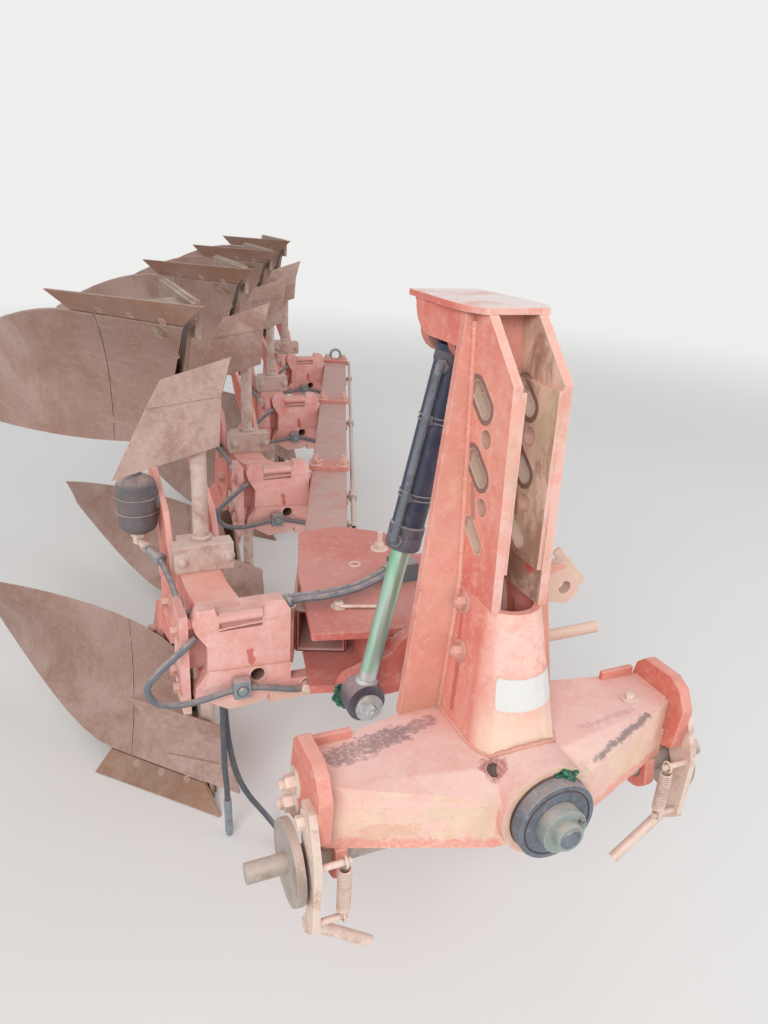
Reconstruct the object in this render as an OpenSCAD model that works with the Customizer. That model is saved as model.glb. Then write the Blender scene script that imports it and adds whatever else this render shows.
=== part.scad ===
// Four-furrow reversible mounted mouldboard plough with hydraulic auto-reset legs.
// X runs to the left of travel, travel is towards -Y, Z is up and the floor is z = 0.
// The origin is on the floor, in the middle of the whole machine.

/* [Layout] */
// Height of the turnover shaft above the floor, half way between the lower and the upper shares
shaft_z = 740; // [720:5:760]
// Distance of the turnover shaft to the side of the origin
shaft_x = 30; // [20:1:40]
// Distance from the front face of the thrust disc to the origin
front_y = -2430; // [-2500:10:-2380]
// Distance from one plough body to the next, along the travel direction
body_pitch = 940; // [900:5:980]
// Width of one furrow, the sideways step from one body to the next
furrow_w = 350; // [335:5:365]

/* [Tower] */
// Height of the top of the tower above the floor
tower_top_z = 1558; // [1500:1:1620]
// Width of the tower across its two side plates
tower_w = 115; // [105:1:130]
// Thickness of each side plate of the tower
tower_plate_t = 18; // [14:1:22]
// Thickness of the wear plates inside the side plates
wear_plate_t = 8; // [5:1:10]
// Width of the flared foot of the tower
tower_foot_w = 175; // [160:1:190]
// Height at which the closed front of the tower ends and its open throat begins
throat_z = 1060; // [1040:5:1100]
// Wall of the closed front of the tower
tower_front_t = 14; // [10:1:16]
// Radius of the top link pin holes
top_link_r = 16.5; // [12.5:0.1:17]
// Width of the back plate at its top
back_top_w = 150; // [140:1:160]
// Width of the back plate at its foot
back_foot_w = 350; // [300:5:370]
// Thickness of the back plate
back_t = 16; // [12:1:20]

/* [Crossbeam] */
// Height of the crossbeam's section
beam_box_h = 135; // [125:1:145]
// Wall of the crossbeam
beam_box_t = 18; // [14:1:20]
// Distance from each end plate to the shoulder of its lower link pin
end_gap = 37; // [34:1:44]
// Thickness of the end plates of the crossbeam
end_plate_t = 26; // [20:1:30]
// Distance between the shoulders of the two lower link pins
link_span = 870; // [860:1:965]
// Radius of the lower link pins
link_pin_r = 18.3; // [14.2:0.05:18.5]
// Length of each lower link pin outside its disc
link_pin_len = 72; // [60:1:90]
// Radius of the cross shaft
cross_shaft_r = 24; // [20:1:28]
// Height of the cross shaft above the floor
cross_shaft_z = 634; // [625:1:638]
// Radius of the discs inside the lower link pins
link_disc_r = 76; // [60:1:80]

/* [Turnover shaft] */
// Radius of the turnover shaft
shaft_r = 50; // [45:1:55]
// Radial running clearance of the shaft in its bearing
shaft_gap = 0.08; // [0.02:0.01:0.09]
// Outer radius of the bearing in the crossbeam
boss_r = 92; // [85:1:96]
// Radius of the thrust disc at the front end of the shaft
disc_r = 77; // [72:1:82]
// Thickness of the thrust disc
disc_t = 26; // [20:1:30]
// Radius of the nut in front of the thrust disc
nut_r = 43; // [38:1:46]

/* [Turnover ram] */
// Distance of the ram's plane behind the thrust disc's front face
ram_y = 500; // [495:1:505]
// Depth of the ram's upper pin below the top of the tower
ram_drop = 58; // [54:1:62]
// Radius of the ram's barrel
barrel_r = 34; // [30:1:36]
// Radius of the ram's rod
rod_r = 20; // [16:1:22]
// Length of the barrel below its upper pin
barrel_len = 452; // [430:1:456]
// Length from the upper pin to the eye at rest
ram_len = 816; // [806:1:826]
// Lean of the ram from upright at rest, in degrees
ram_lean = 11.6; // [10.6:0.1:12.6]
// Radius of the ram's pin
ram_pin_r = 15.95; // [14:0.05:17]

/* [Main beam] */
// Width of the beam tube
tube_w = 128; // [120:1:136]
// Height of the beam tube
tube_h = 118; // [112:1:124]
// Wall of the beam tube
tube_wall = 10; // [8:1:12]
// Thickness of the two plates that clasp the beam's front end
frame_plate_t = 20; // [16:1:24]

/* [Plough bodies] */
// Thickness of the mouldboards and shins
board_t = 8; // [6:1:10]
// Thickness of the shares
share_t = 12; // [10:1:14]
// Thickness of the landsides
landside_t = 12; // [10:1:16]
// Length of the landsides
landside_len = 520; // [480:5:560]
// Height of the landsides
landside_h = 95; // [80:1:110]

/* [Legs and reset housings] */
// Thickness of the two plates of each leg
leg_t = 16; // [14:1:20]
// Clear distance between the two plates of each leg
leg_gap = 104; // [96:1:112]
// Width of a reset housing
housing_w = 224; // [214:1:234]
// Thickness of the cast front of a reset housing
housing_front_t = 34; // [28:1:40]
// Radius of the accumulators beside the legs
accumulator_r = 52; // [45:1:56]
// Radius of the hydraulic hoses
hose_r = 8; // [6:0.5:9]
// Radius of the oil pipes on the beam and beside the ram
pipe_r = 8; // [6:0.5:9]

/* [Skimmers] */
// Radius of the skimmer stems
stem_r = 20; // [16:1:24]
// Thickness of the skimmer plates
skimmer_t = 7; // [5:1:9]

/* [Parking stand] */
// Distance of the stand's leg to the side of the turnover shaft
stand_x = 450; // [420:5:480]
// Distance of the stand's leg behind the thrust disc's front face
stand_y = 1000; // [980:5:1020]
// Width of the stand's square leg
stand_w = 60; // [50:1:70]
// Height of the stand's pivot above the floor
stand_pivot_z = 712; // [704:1:720]
// Width of the stand's foot plate
foot_w = 160; // [140:5:200]

/* [Hidden] */
$fn = 48;
paint = [0.78, 0.36, 0.29];
rust = [0.42, 0.28, 0.22];
steel = [0.55, 0.54, 0.52];
dark = [0.16, 0.17, 0.2];
// Small clearance between pieces that pass close to each other, and overlap of cuts past a face
fit = 0.3;
cut = 1;
stations = [0, 1, 2, 3];
// Places of the first station, from the shaft (x) and from the thrust disc's face (y)
tip_x = -396;
tip_y = 980;
housing_x = -387;
housing_y = 680;
// Crossbeam section
beam_box_top = shaft_z + 62;
beam_box_low = beam_box_top - beam_box_h;
wing_half = link_span / 2 - end_gap - end_plate_t;
ram_top_z = tower_top_z - ram_drop;
// The main beam runs one furrow sideways for each body pitch, past this place
beam_angle = atan2(furrow_w, body_pitch);
beam_x = -225;
beam_y = 617;
beam_side = tube_w / 2 / cos(beam_angle);
function beam_left_x(y) = beam_x - beam_side + tan(beam_angle) * (y - beam_y);

// Everything is drawn with x = 0 on the shaft and y = 0 on the thrust disc's front face
module machine() translate([shaft_x, front_y, 0]) children();

// Extrudes an outline of [y, z] points along X
module plate_x(x, t, outline) translate([x, 0, 0]) rotate([90, 0, 90]) linear_extrude(t) polygon(outline);
// Extrudes an outline of [x, z] points along Y
module plate_y(y, t, outline) translate([0, y + t, 0]) rotate([90, 0, 0]) linear_extrude(t)
    polygon(outline);
// Extrudes an outline of [x, y] points along Z
module plate_z(z, t, outline) translate([0, 0, z]) linear_extrude(t) polygon(outline);
module rod_x(x, y, z, r, len) translate([x, y, z]) rotate([0, 90, 0]) cylinder(r = r, h = len);
module rod_y(x, y, z, r, len) translate([x, y, z]) rotate([-90, 0, 0]) cylinder(r = r, h = len);
module rod_z(x, y, z, r, len) translate([x, y, z]) cylinder(r = r, h = len);
// A block between two corners
module block(low, high) translate(low) cube(high - low);
// Draws its children on both sides of the shaft
module both_sides() {
    children();
    mirror([1, 0, 0]) children();
}
// Draws its children for the lower bodies and again, inverted, for the upper ones
module both_levels() {
    children();
    translate([0, 0, 2 * shaft_z]) mirror([0, 0, 1]) children();
}
// Draws its children at one station, or at all of them
module station(i) translate([furrow_w * i, body_pitch * i, 0]) children();
module all_stations() for (i = stations) station(i) children();
function arc(x, y, r, from, to, steps = 6) =
    [for (k = [0 : steps]) let (a = from + (to - from) * k / steps) [x + r * cos(a), y + r * sin(a)]];
function mix(a, b, t) = a + (b - a) * t;
function bez(p, t) = pow(1 - t, 3) * p[0] + 3 * t * pow(1 - t,
    2) * p[1] + 3 * t * t * (1 - t) * p[2] + pow(t, 3) * p[3];

// A curved sheet: rows of points on its face, from low to high and each from right to left, seen from
// the front, and its thickness as a vector to the back
function sheet_points(rows, back) = concat(
    [for (row = rows) for (p = row) p],
    [for (row = rows) for (p = row) p + back]);
function sheet_faces(n, m) = let (b = n * m, a = (n - 1) * m) concat(
    [for (i = [0 : n - 2]) for (j = [0 : m - 2])
        [i * m + j, i * m + j + 1, (i + 1) * m + j + 1, (i + 1) * m + j]],
    [for (i = [0 : n - 2]) for (j = [0 : m - 2])
        [b + i * m + j, b + (i + 1) * m + j, b + (i + 1) * m + j + 1, b + i * m + j + 1]],
    [for (i = [0 : n - 2]) [i * m, (i + 1) * m, b + (i + 1) * m, b + i * m]],
    [for (i = [0 : n - 2]) [i * m + m - 1, b + i * m + m - 1, b + (i + 1) * m + m - 1,
        (i + 1) * m + m - 1]],
    [for (j = [0 : m - 2]) [j, b + j, b + j + 1, j + 1]],
    [for (j = [0 : m - 2]) [a + j, a + j + 1, b + a + j + 1, b + a + j]]);
module sheet(rows, back) polyhedron(sheet_points(rows, back), sheet_faces(len(rows), len(rows[0])),
    convexity = 6);

// A round tube swept along a smooth route through chosen points
function smooth_at(p, i, t) = let (
    a = p[max(i - 1, 0)], b = p[i], c = p[i + 1], d = p[min(i + 2, len(p) - 1)])
    0.5 * (2 * b + (c - a) * t + (2 * a - 5 * b + 4 * c - d) * t * t + (3 * b - a - 3 * c + d) * t * t * t);
function smooth(p, k) = concat(
    [for (i = [0 : len(p) - 2]) for (j = [0 : k - 1]) smooth_at(p, i, j / k)], [p[len(p) - 1]]);
function unit(v) = v / norm(v);
function plan(p) = [p[0], p[1]];
function heading(p, i) = unit(p[min(i + 1, len(p) - 1)] - p[max(i - 1, 0)]);
function sideways(p, i, before) = let (d = heading(p, i), s = unit(before - d * (before * d)))
    i == len(p) - 1 ? [s] : concat([s], sideways(p, i + 1, s));
module hose(route, r, k = 2, sides = 8) {
    p = smooth(route, k);
    s = sideways(p, 0, abs(heading(p, 0)[2]) < 0.9 ? [0, 0, 1] : [1, 0, 0]);
    rings = [for (i = [0 : len(p) - 1]) let (up = cross(heading(p, i), s[i])) for (j = [0 : sides - 1])
        p[i] + r * (cos(360 * j / sides) * s[i] + sin(360 * j / sides) * up)];
    last = (len(p) - 1) * sides;
    walls = [for (i = [0 : len(p) - 2]) for (j = [0 : sides - 1])
        let (a = i * sides + j, b = i * sides + (j + 1) % sides)
        [a, a + sides, b + sides, b]];
    polyhedron(rings, concat(walls, [[for (j = [0 : sides - 1]) j]],
        [[for (j = [sides - 1 : -1 : 0]) last + j]]));
}

// Tower: the back plate leans back with its height, and everything else is set against it
back_low_y = 290;
back_high_y = 345;
function back_y(z) = mix(back_low_y, back_high_y, (z - beam_box_top) / (tower_top_z - beam_box_top));
side_outline = [
    [192, throat_z], [200, tower_top_z - 248], [205, tower_top_z - 98], [300, tower_top_z],
    [back_y(tower_top_z), tower_top_z], [back_y(throat_z), throat_z]];
wear_top = tower_top_z - 108;
wear_low = throat_z + 68;
wear_outline = [[198, wear_low], [204, wear_top], [back_y(wear_top) - 4, wear_top],
    [back_y(wear_low) - 4, wear_low]];
// Depth of the three slots and of the two round holes below the top, and their distance to the back plate
slot_drops = [141, 261, 385];
hole_drops = [204, 326];
slot_in = 34.5;
hole_in = 58;
slot_places = [for (d = slot_drops) [back_y(tower_top_z - d) - slot_in, tower_top_z - d]];
hole_places = [for (d = hole_drops) [back_y(tower_top_z - d) - hole_in, tower_top_z - d]];
slot_len = 42;
slot_tilt = 40;
module tower_plates() machine() color(paint) both_sides() difference() {
    union() {
        plate_x(tower_w / 2 - tower_plate_t, tower_plate_t, side_outline);
        plate_x(tower_w / 2 - tower_plate_t - wear_plate_t, wear_plate_t, wear_outline);
    }
    for (h = hole_places) rod_x(0, h[0], h[1], top_link_r, tower_w);
    for (s = slot_places) translate([0, s[0], s[1]]) rotate([slot_tilt, 0, 0]) {
        for (end = [-1, 1]) rod_x(0, end * slot_len / 2, 0, top_link_r, tower_w);
        block([0, -slot_len / 2, -top_link_r], [tower_w, slot_len / 2, top_link_r]);
    }
}

// Plan of the closed front at one level: half width, front y, back y
function front_plan(w, front, back) = concat(
    [[-w, back]], [for (a = [180 : 20 : 360]) [w * cos(a), front + w * 0.9 + w * 0.9 * sin(a)]],
        [[w, back]]);
front_low_y = 95;
front_high_y = 168;
module front_shell(inset, low, high) hull() {
    translate([0, 0, low]) linear_extrude(cut)
        polygon(front_plan(tower_foot_w / 2 - inset, front_low_y + inset, back_low_y));
    translate([0, 0, high - cut]) linear_extrude(cut)
        polygon(front_plan(tower_w / 2 - inset, front_high_y + inset, back_y(throat_z) - 2));
}
module tower_front() machine() color(paint) difference() {
    front_shell(0, beam_box_top, throat_z);
    front_shell(tower_front_t, beam_box_top - cut, throat_z + cut);
    rod_y(0, 0, shaft_z, boss_r + fit, back_low_y + back_t);
}

// Behind the back plate's right side: a lug with a hole and a strap, and a round bar that sticks out
bracket_x = [110, 140];
bracket_end = 410;
bar_r = 13.5;
bar_end = 369;
bar_y = 400;
bar_z = shaft_z + 99;
bracket_z = [bar_z, shaft_z + 219];
ear_outline = [[110, 190], [110, 270], [200, 281], [240, 290], [289, 245], [289, 205], [262, 186],
    [200, 200]];
ear_hole = [252, 226];
strap_outline = [[228, 300], [246, 310], [328, 222], [312, 210]];
module tower_back_plate() machine() color(paint) difference() {
    union() {
        back_sheet();
        for (z = bracket_z) block([bracket_x[0], back_y(z) + 6, z - 24],
            [bracket_x[1], bracket_end, z + 24]);
        rod_x(bracket_x[0], bar_y, bar_z, bar_r, bar_end - bracket_x[0]);
        plate_y(bracket_end - 25, 25, [for (p = ear_outline) [p[0], shaft_z + p[1]]]);
        plate_y(bracket_end, 8, [for (p = strap_outline) [p[0], shaft_z + p[1]]]);
    }
    rod_y(0, 0, shaft_z, boss_r + fit, 400);
    rod_y(ear_hole[0], bracket_end - 30, shaft_z + ear_hole[1], 15, 60);
}
module back_sheet() {
    intersection() {
        plate_x(-back_foot_w, 2 * back_foot_w, [
            [back_low_y, beam_box_top], [back_high_y, tower_top_z],
            [back_high_y + back_t, tower_top_z], [back_low_y + back_t, beam_box_top]]);
        plate_y(back_low_y, 200, [[-back_foot_w / 2, beam_box_top], [back_foot_w / 2, beam_box_top],
            [back_top_w / 2, tower_top_z], [-back_top_w / 2, tower_top_z]]);
    }
}

cap_t = 12;
cap_back_y = 575;
lug_t = 25;
lug_gap = barrel_r + 9;
pin_len = 2 * (lug_gap + lug_t);
gusset_x = 64;
module tower_cap() machine() color(paint) difference() {
    union() {
        plate_z(tower_top_z, cap_t, [[-62, 300], [62, 300], [82, 340], [86, 380], [76, cap_back_y],
            [-76, cap_back_y], [-86, 380], [-82, 340]]);
        for (side = [0, 1]) plate_y(ram_y - lug_gap - lug_t + side * (2 * lug_gap + lug_t), lug_t,
            concat([[-gusset_x - 2, tower_top_z], [gusset_x + 2, tower_top_z]],
                arc(0, ram_top_z, 50, 0, -180, 12)));
        both_sides() plate_x(gusset_x, 12, concat([[back_high_y + back_t, tower_top_z]],
            arc(480, tower_top_z, 62, 0, -90, 6), [[back_y(tower_top_z - 62) + back_t, tower_top_z - 62]]));
    }
    rod_y(0, 300, ram_top_z, ram_pin_r + 0.05, 300);
}
module ram_top_pin() machine() color(steel) rod_y(0, ram_y - pin_len / 2, ram_top_z, ram_pin_r, pin_len);

// Crossbeam: a hollow cast box, swept back on both sides, with the bearing through its middle
boss_front = 30;
boss_back = 330;
function wing_plan(inset) = let (tip = inset > 0 ? wing_half + cut : wing_half) [
    [-tip, 152 + 1.1 * inset], [-92, 50 + 1.1 * inset], [0, 45 + inset], [92, 50 + 1.1 * inset],
        [tip, 152 + 1.1 * inset],
    [tip, 258 - 1.1 * inset], [150, 300 - inset], [-150, 300 - inset], [-tip, 258 - 1.1 * inset]];
facet_x = 95;
facet_y = 112;
module crossbeam() machine() color(paint) difference() {
    union() {
        difference() {
            plate_z(beam_box_low, beam_box_h, wing_plan(0));
            plate_z(beam_box_low + beam_box_t, beam_box_h - 2.5 * beam_box_t, wing_plan(beam_box_t));
            // The top falls away to the front between the two wings
            both_sides() translate([facet_x, facet_y, beam_box_top]) rotate([0, 0, 8.2]) rotate([27, 0, 0])
                block([-120, -200, 0], [320, 0, 100]);
        }
        rod_y(0, boss_front, shaft_z, boss_r, boss_back - boss_front);
    }
    rod_y(0, 0, shaft_z, shaft_r + shaft_gap, 400);
    // Groove for the cross shaft, which passes just under the bearing
    rod_x(-2 * boss_r, link_y, cross_shaft_z, cross_shaft_r + fit, 4 * boss_r);
}

end_outline = [[110, 60], [132, 100], [160, 115], [236, 113], [258, 92], [292, -65], [285, -100],
    [120, -35]];
module end_plates() machine() color(paint) both_sides()
    plate_x(wing_half, end_plate_t, [for (p = end_outline) [p[0], shaft_z + p[1]]]);

// Cross shaft with its discs and link pins, in one turned piece
link_y = 175;
disc_w = 16;
module cross_shaft() machine() color(steel) {
    rod_x(-link_span / 2, link_y, cross_shaft_z, cross_shaft_r, link_span);
    both_sides() {
        rod_x(link_span / 2 - disc_w, link_y, cross_shaft_z, link_disc_r, disc_w);
        rod_x(link_span / 2, link_y, cross_shaft_z, link_pin_r, link_pin_len);
    }
}

// Hangers that hold the cross shaft under the ends of the crossbeam
hanger_t = 24;
hanger_x = wing_half - 40;
hanger_y = [138, 262];
hanger_r = 48;
module shaft_hangers() machine() color(paint) both_sides() difference() {
    plate_x(hanger_x, hanger_t, concat([for (y = hanger_y) [y, beam_box_low]],
        arc(link_y, cross_shaft_z, hanger_r, -20, -160, 8)));
    rod_x(0, link_y, cross_shaft_z, cross_shaft_r + fit, wing_half);
}

// Latches on the end plates' outer faces: a bent bracket, a spring on two pegs and a handle
latch_x = wing_half + end_plate_t;
latch_t = 14;
peg_y = 100;
peg_high_z = shaft_z - 60;
peg_low_z = shaft_z - 184;
peg_r = 6;
latch_outline = [[120, 40], [160, 40], [160, -40], [126, -100], [126, -180], [150, -220], [130, -235],
    [88, -195], [86, -45]];
handle_drop = 210;
handle_place = [128, shaft_z - handle_drop];
handle_len = 160;
handle_turn = -128;
module latch_levers() machine() color(steel) both_sides() {
    plate_x(latch_x, latch_t, [for (p = latch_outline) [p[0], shaft_z + p[1]]]);
    for (z = [peg_high_z, peg_low_z]) rod_x(wing_half - 30, peg_y, z, peg_r, 32 + end_plate_t);
    translate([latch_x + latch_t - 2, handle_place[0], handle_place[1]]) rotate([0, handle_turn, 0])
        cylinder(r = 11, h = handle_len);
}
module latch_springs() machine() color(steel) both_sides()
    rod_z(wing_half - 20, peg_y, peg_low_z + peg_r, 13, peg_high_z - peg_low_z - 2 * peg_r);

// Turnover shaft, its disc and nut, and the head that joins it to the frame
shaft_end = 640;
module turnover_shaft() machine() color(dark) rod_y(0, disc_t, shaft_z, shaft_r, shaft_end - disc_t);
module thrust_disc() machine() color(dark) difference() {
    rod_y(0, 0, shaft_z, disc_r, disc_t);
    rod_y(0, -cut, shaft_z, 24, disc_t + 2 * cut);
}
module shaft_nut() machine() color(dark) {
    rod_y(0, -24, shaft_z, nut_r, 24);
    rod_y(0, -40, shaft_z, 26, 17);
    rod_y(0, -cut, shaft_z, 23.7, disc_t + cut);
}

arm_y = ram_y + barrel_r;
arm_t = 28;
frame_gap = tube_h + 2;
module turnover_head() machine() color(paint) difference() {
    union() {
        rod_y(0, arm_y, shaft_z, 88, arm_t);
        // Arm out to the ram's eye
        plate_y(arm_y, arm_t, concat([[0, shaft_z + 70]], arc(eye_x, eye_z, 40, 90, 250, 8),
            [[0, shaft_z - 70]]));
        block([-105, arm_y + arm_t, shaft_z - frame_gap / 2], [105, 702, shaft_z + frame_gap / 2]);
    }
    rod_y(0, arm_y - cut, shaft_z, shaft_r + 0.05, shaft_end - arm_y + cut);
}

// Two plates that clasp the front end of the main beam
plate_outline = [[-250, 600], [-110, 566], [160, 566], [190, 700], [130, 1080], [20, 1160], [-110, 1150],
    [-190, 900]];
module frame_plates() machine() color(paint) both_levels()
    plate_z(shaft_z - frame_gap / 2 - frame_plate_t, frame_plate_t, plate_outline);

// Main beam, along Y in its own frame
module beam_frame() translate([beam_x, beam_y, shaft_z]) rotate([0, 0, -beam_angle]) children();
beam_start = 120;
beam_end = 3330;
module main_beam() machine() color(paint) beam_frame() difference() {
    block([-tube_w / 2, beam_start, -tube_h / 2], [tube_w / 2, beam_end, tube_h / 2]);
    block([-tube_w / 2 + tube_wall, beam_start - cut, -tube_h / 2 + tube_wall],
        [tube_w / 2 - tube_wall, beam_end + cut, tube_h / 2 - tube_wall]);
}

clamp_t = 16;
clamp_len = 90;
clamp_from = 150;
module beam_clamps() machine() color(paint) beam_frame() for (i = [1, 2, 3]) for (side = [0, 1])
    translate([0, i * body_pitch / cos(beam_angle) + clamp_from,
        side * (tube_h + clamp_t) - tube_h / 2 - clamp_t])
        block([-tube_w / 2 - 10, 0, 0], [tube_w / 2 + 10, clamp_len, clamp_t]);

// Oil pipe along the beam's right side, with a coupling at each station and its ends bent into the beam
pipe_x = tube_w / 2 + 22;
pipe_z = 34;
pipe_from = 720;
pipe_route = [
    [tube_w / 2 + 3, pipe_from, pipe_z], [tube_w / 2 + 12, pipe_from, pipe_z],
        [pipe_x - 1, pipe_from + 9, pipe_z],
    [pipe_x, pipe_from + 26, pipe_z], [pipe_x, 1500, pipe_z], [pipe_x, 2300, pipe_z],
        [pipe_x, beam_end - 66, pipe_z],
    [pipe_x - 1, beam_end - 49, pipe_z], [tube_w / 2 + 12, beam_end - 40, pipe_z],
    [tube_w / 2 + 3, beam_end - 40, pipe_z]];
module beam_pipe() machine() color(steel) beam_frame() {
    hose(pipe_route, pipe_r);
    for (y = [pipe_from, beam_end - 40]) rod_x(tube_w / 2, y, pipe_z, 1.5 * pipe_r, 10);
    for (i = [1, 2, 3]) {
        rod_y(pipe_x, i * body_pitch, pipe_z, 1.8 * pipe_r, 60);
        rod_x(tube_w / 2, i * body_pitch + 30, pipe_z, pipe_r, pipe_x - tube_w / 2);
    }
}

// Reset housing: a waisted cast front with knuckles along its top, a block behind it, the side
// plate at its left, the web to the beam and the band under the beam with the hose's hole
front_outline = [
    [-112, 104], [-98, 132], [-62, 134], [-56, 114], [52, 114], [58, 134], [96, 132], [112, 106],
    [112, -96], [70, -104], [36, -128], [-36, -132], [-74, -108], [-112, -96], [-108, -64], [-82, -30],
    [-80, 40], [-104, 76]];
housing_depth = 90;
band_x = -160;
band_low = shaft_z - 134;
band_t = 34;
hose_hole = [-233, shaft_z - 101];
// Recess behind the bar along the top of the front, and the step above its lower band
recess = [[-52, 74], [46, 104]];
recess_depth = 11;
step_out = 6;
step_outline = [
    [-78, -22], [-30, -26], [60, -30], [112, -34], [112, -96], [70, -104], [36, -128], [-36, -132],
    [-74, -108], [-96, -80]];
module reset_housing(i) machine() color(paint) station(i) difference() {
    union() {
        translate([housing_x, 0, shaft_z]) plate_y(housing_y - step_out, step_out, step_outline);
        translate([housing_x, 0, shaft_z]) plate_y(housing_y, housing_front_t, front_outline);
        block([housing_x - 78, housing_y + 10, shaft_z - 84],
            [housing_x + housing_w / 2 - 4, housing_y + housing_depth, shaft_z + 104]);
        block([housing_x - housing_w / 2 - 26, housing_y + 4, shaft_z - 130],
            [housing_x - housing_w / 2 - 8, housing_y + housing_depth + 10, shaft_z + 122]);
        block([housing_x - housing_w / 2 - 9, housing_y + 50, shaft_z - 40],
            [housing_x, housing_y + housing_depth, shaft_z + 40]);
        plate_z(shaft_z - tube_h / 2 + 2, tube_h - 4, [
            [housing_x, housing_y + 26], [beam_left_x(housing_y + 26) - seam, housing_y + 26],
            [beam_left_x(housing_y + 88) - seam, housing_y + 88], [housing_x, housing_y + 88]]);
        block([housing_x + 60, housing_y - 8, band_low], [band_x, housing_y - 8 + band_t,
            i == 0 ? shaft_z - frame_gap / 2 - frame_plate_t : shaft_z - tube_h / 2]);
    }
    rod_y(housing_x + 32, housing_y - step_out - cut, shaft_z - 50, 17, 60 + step_out);
    rod_y(hose_hole[0], housing_y - 10, hose_hole[1], 17, band_t + 10);
    translate([housing_x, housing_y, shaft_z])
        block([recess[0][0], -cut, recess[0][1]], [recess[1][0], recess_depth, recess[1][1]]);
}
module reset_housing_1() reset_housing(0);
module reset_housing_2() reset_housing(1);
module reset_housing_3() reset_housing(2);
module reset_housing_4() reset_housing(3);

// Leg: two plates held apart by the hollow head that seats in the housing
leg_x = -424;
leg_head_y = housing_y + housing_depth;
leg_head_end = 1150;
head_wall = 14;
leg_out = leg_gap / 2 + leg_t;
leg_half = [
    [1030, shaft_z], [1036, 650], [1110, 540], [1290, 484], [1376, 450], [1398, 400], [1404, 330],
        [1404, 250],
    [1470, 240], [1500, 330], [1486, 430], [1400, 530], [1260, 610], [1230, shaft_z]];
leg_hole = [1150, 1190, 600];
module reset_legs() machine() color(paint) all_stations() {
    both_levels() for (side = [0, 1]) difference() {
        plate_x(leg_x - leg_out + side * (leg_gap + leg_t), leg_t, leg_half);
        for (y = [leg_hole[0], leg_hole[1]]) rod_x(leg_x - leg_out - cut, y, leg_hole[2], 20,
            2 * leg_out + 2 * cut);
        block([leg_x - leg_out - cut, leg_hole[0], leg_hole[2] - 20],
            [leg_x + leg_out + cut, leg_hole[1], leg_hole[2] + 20]);
    }
    difference() {
        plate_x(leg_x - leg_gap / 2, leg_gap, [[leg_head_y, shaft_z - 104], [900, shaft_z - 80],
            [leg_head_end, shaft_z - 80], [leg_head_end, shaft_z + 80], [900, shaft_z + 80],
            [leg_head_y, shaft_z + 104]]);
        block([leg_x - leg_gap / 2 + head_wall, leg_head_y + 40, shaft_z - 80 + head_wall],
            [leg_x + leg_gap / 2 - head_wall, leg_head_end + cut, shaft_z + 80 - head_wall]);
    }
}

// Accumulators hang beside the legs, and their hoses run forward to the leg heads
accumulator_x = leg_x - leg_out - accumulator_r - 4;
accumulator_y = 1190;
accumulator_z = 940;
accumulator_h = 170;
module accumulators() machine() color(dark) all_stations()
    translate([accumulator_x, accumulator_y, accumulator_z]) {
    rotate_extrude() polygon(concat([[0, -accumulator_h / 2], [30, -accumulator_h / 2 + 6]],
        arc(accumulator_r - 26, -accumulator_h / 2 + 34, 26, -60, 0, 4),
        arc(accumulator_r - 26, accumulator_h / 2 - 34, 26, 0, 60, 4),
            [[24, accumulator_h / 2 - 4], [0, accumulator_h / 2]]));
    rotate([0, 90, 0]) cylinder(r = 24, h = accumulator_r + 4);
}
// Columns: x, y, z of the route's points at the first station
loop_route = [
    [-494, 704, 798], [-497, 682, 804], [-520, 664, 796], [-560, 656, 768], [-598, 654, 732],
        [-602, 654, 700],
    [-580, 654, 672], [-536, 654, 660], [-480, 656, 661], [-397, 658, 672], [-320, 656, 656],
        [-262, 658, 638],
    [-238, 674, 639], [-233, 692, 639]];
accumulator_route = [
    [-548, 1190, 850], [-548, 1189, 836], [-534, 1140, 830], [-512, 1080, 822], [-500, 960, 806],
    [-499, 860, 796], [-498, 822, 792], [-484, 820, 792]];
clip_place = [-397, 658, 672];
clip_r = 15;
fitting_r = 12;
fitting_len = 18;
module reset_hoses() machine() color(dark) all_stations() {
    hose(loop_route, hose_r);
    rod_y(clip_place[0], clip_place[1] - clip_r, clip_place[2], clip_r,
            housing_y - step_out - clip_place[1] + clip_r);
    hose(accumulator_route, hose_r);
    rod_x(leg_x - leg_gap / 2 - fitting_len, 820, 792, fitting_r, fitting_len);
    rod_z(accumulator_x, accumulator_y, accumulator_z - accumulator_h / 2 - fitting_len, fitting_r,
        fitting_len);
}

// Feed hoses, from a block on the frame plate to the first housing
feed_route = [
    [-272, 742, 824], [-250, 722, 842], [-215, 706, 850], [-180, 702, 851], [-100, 716, 850],
        [-20, 756, 850], [34, 790, 850]];
feed_block = [60, 800];
module feed_hoses() machine() color(dark) {
    for (k = [0, 1]) hose([for (p = feed_route) p + [0, k * 20, 0]], hose_r);
    block([feed_block[0] - 30, feed_block[1] - 34, shaft_z + frame_gap / 2 + frame_plate_t],
        [feed_block[0] + 30, feed_block[1] + 34, shaft_z + frame_gap / 2 + frame_plate_t + 50]);
}

// Plough body, drawn from the share's tip. The share is a slab between its edge and the board
share_tip = [0, 0, 0];
share_wing = [-327, 325, 0];
share_in = [-30, 98, 58];
share_out = [-271, 358, 52];
share_back = [0.75, 0.75, 0] * share_t;
function share_at(a, b) = mix(mix(share_tip, share_wing, a), mix(share_in, share_out, a), b);
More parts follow.
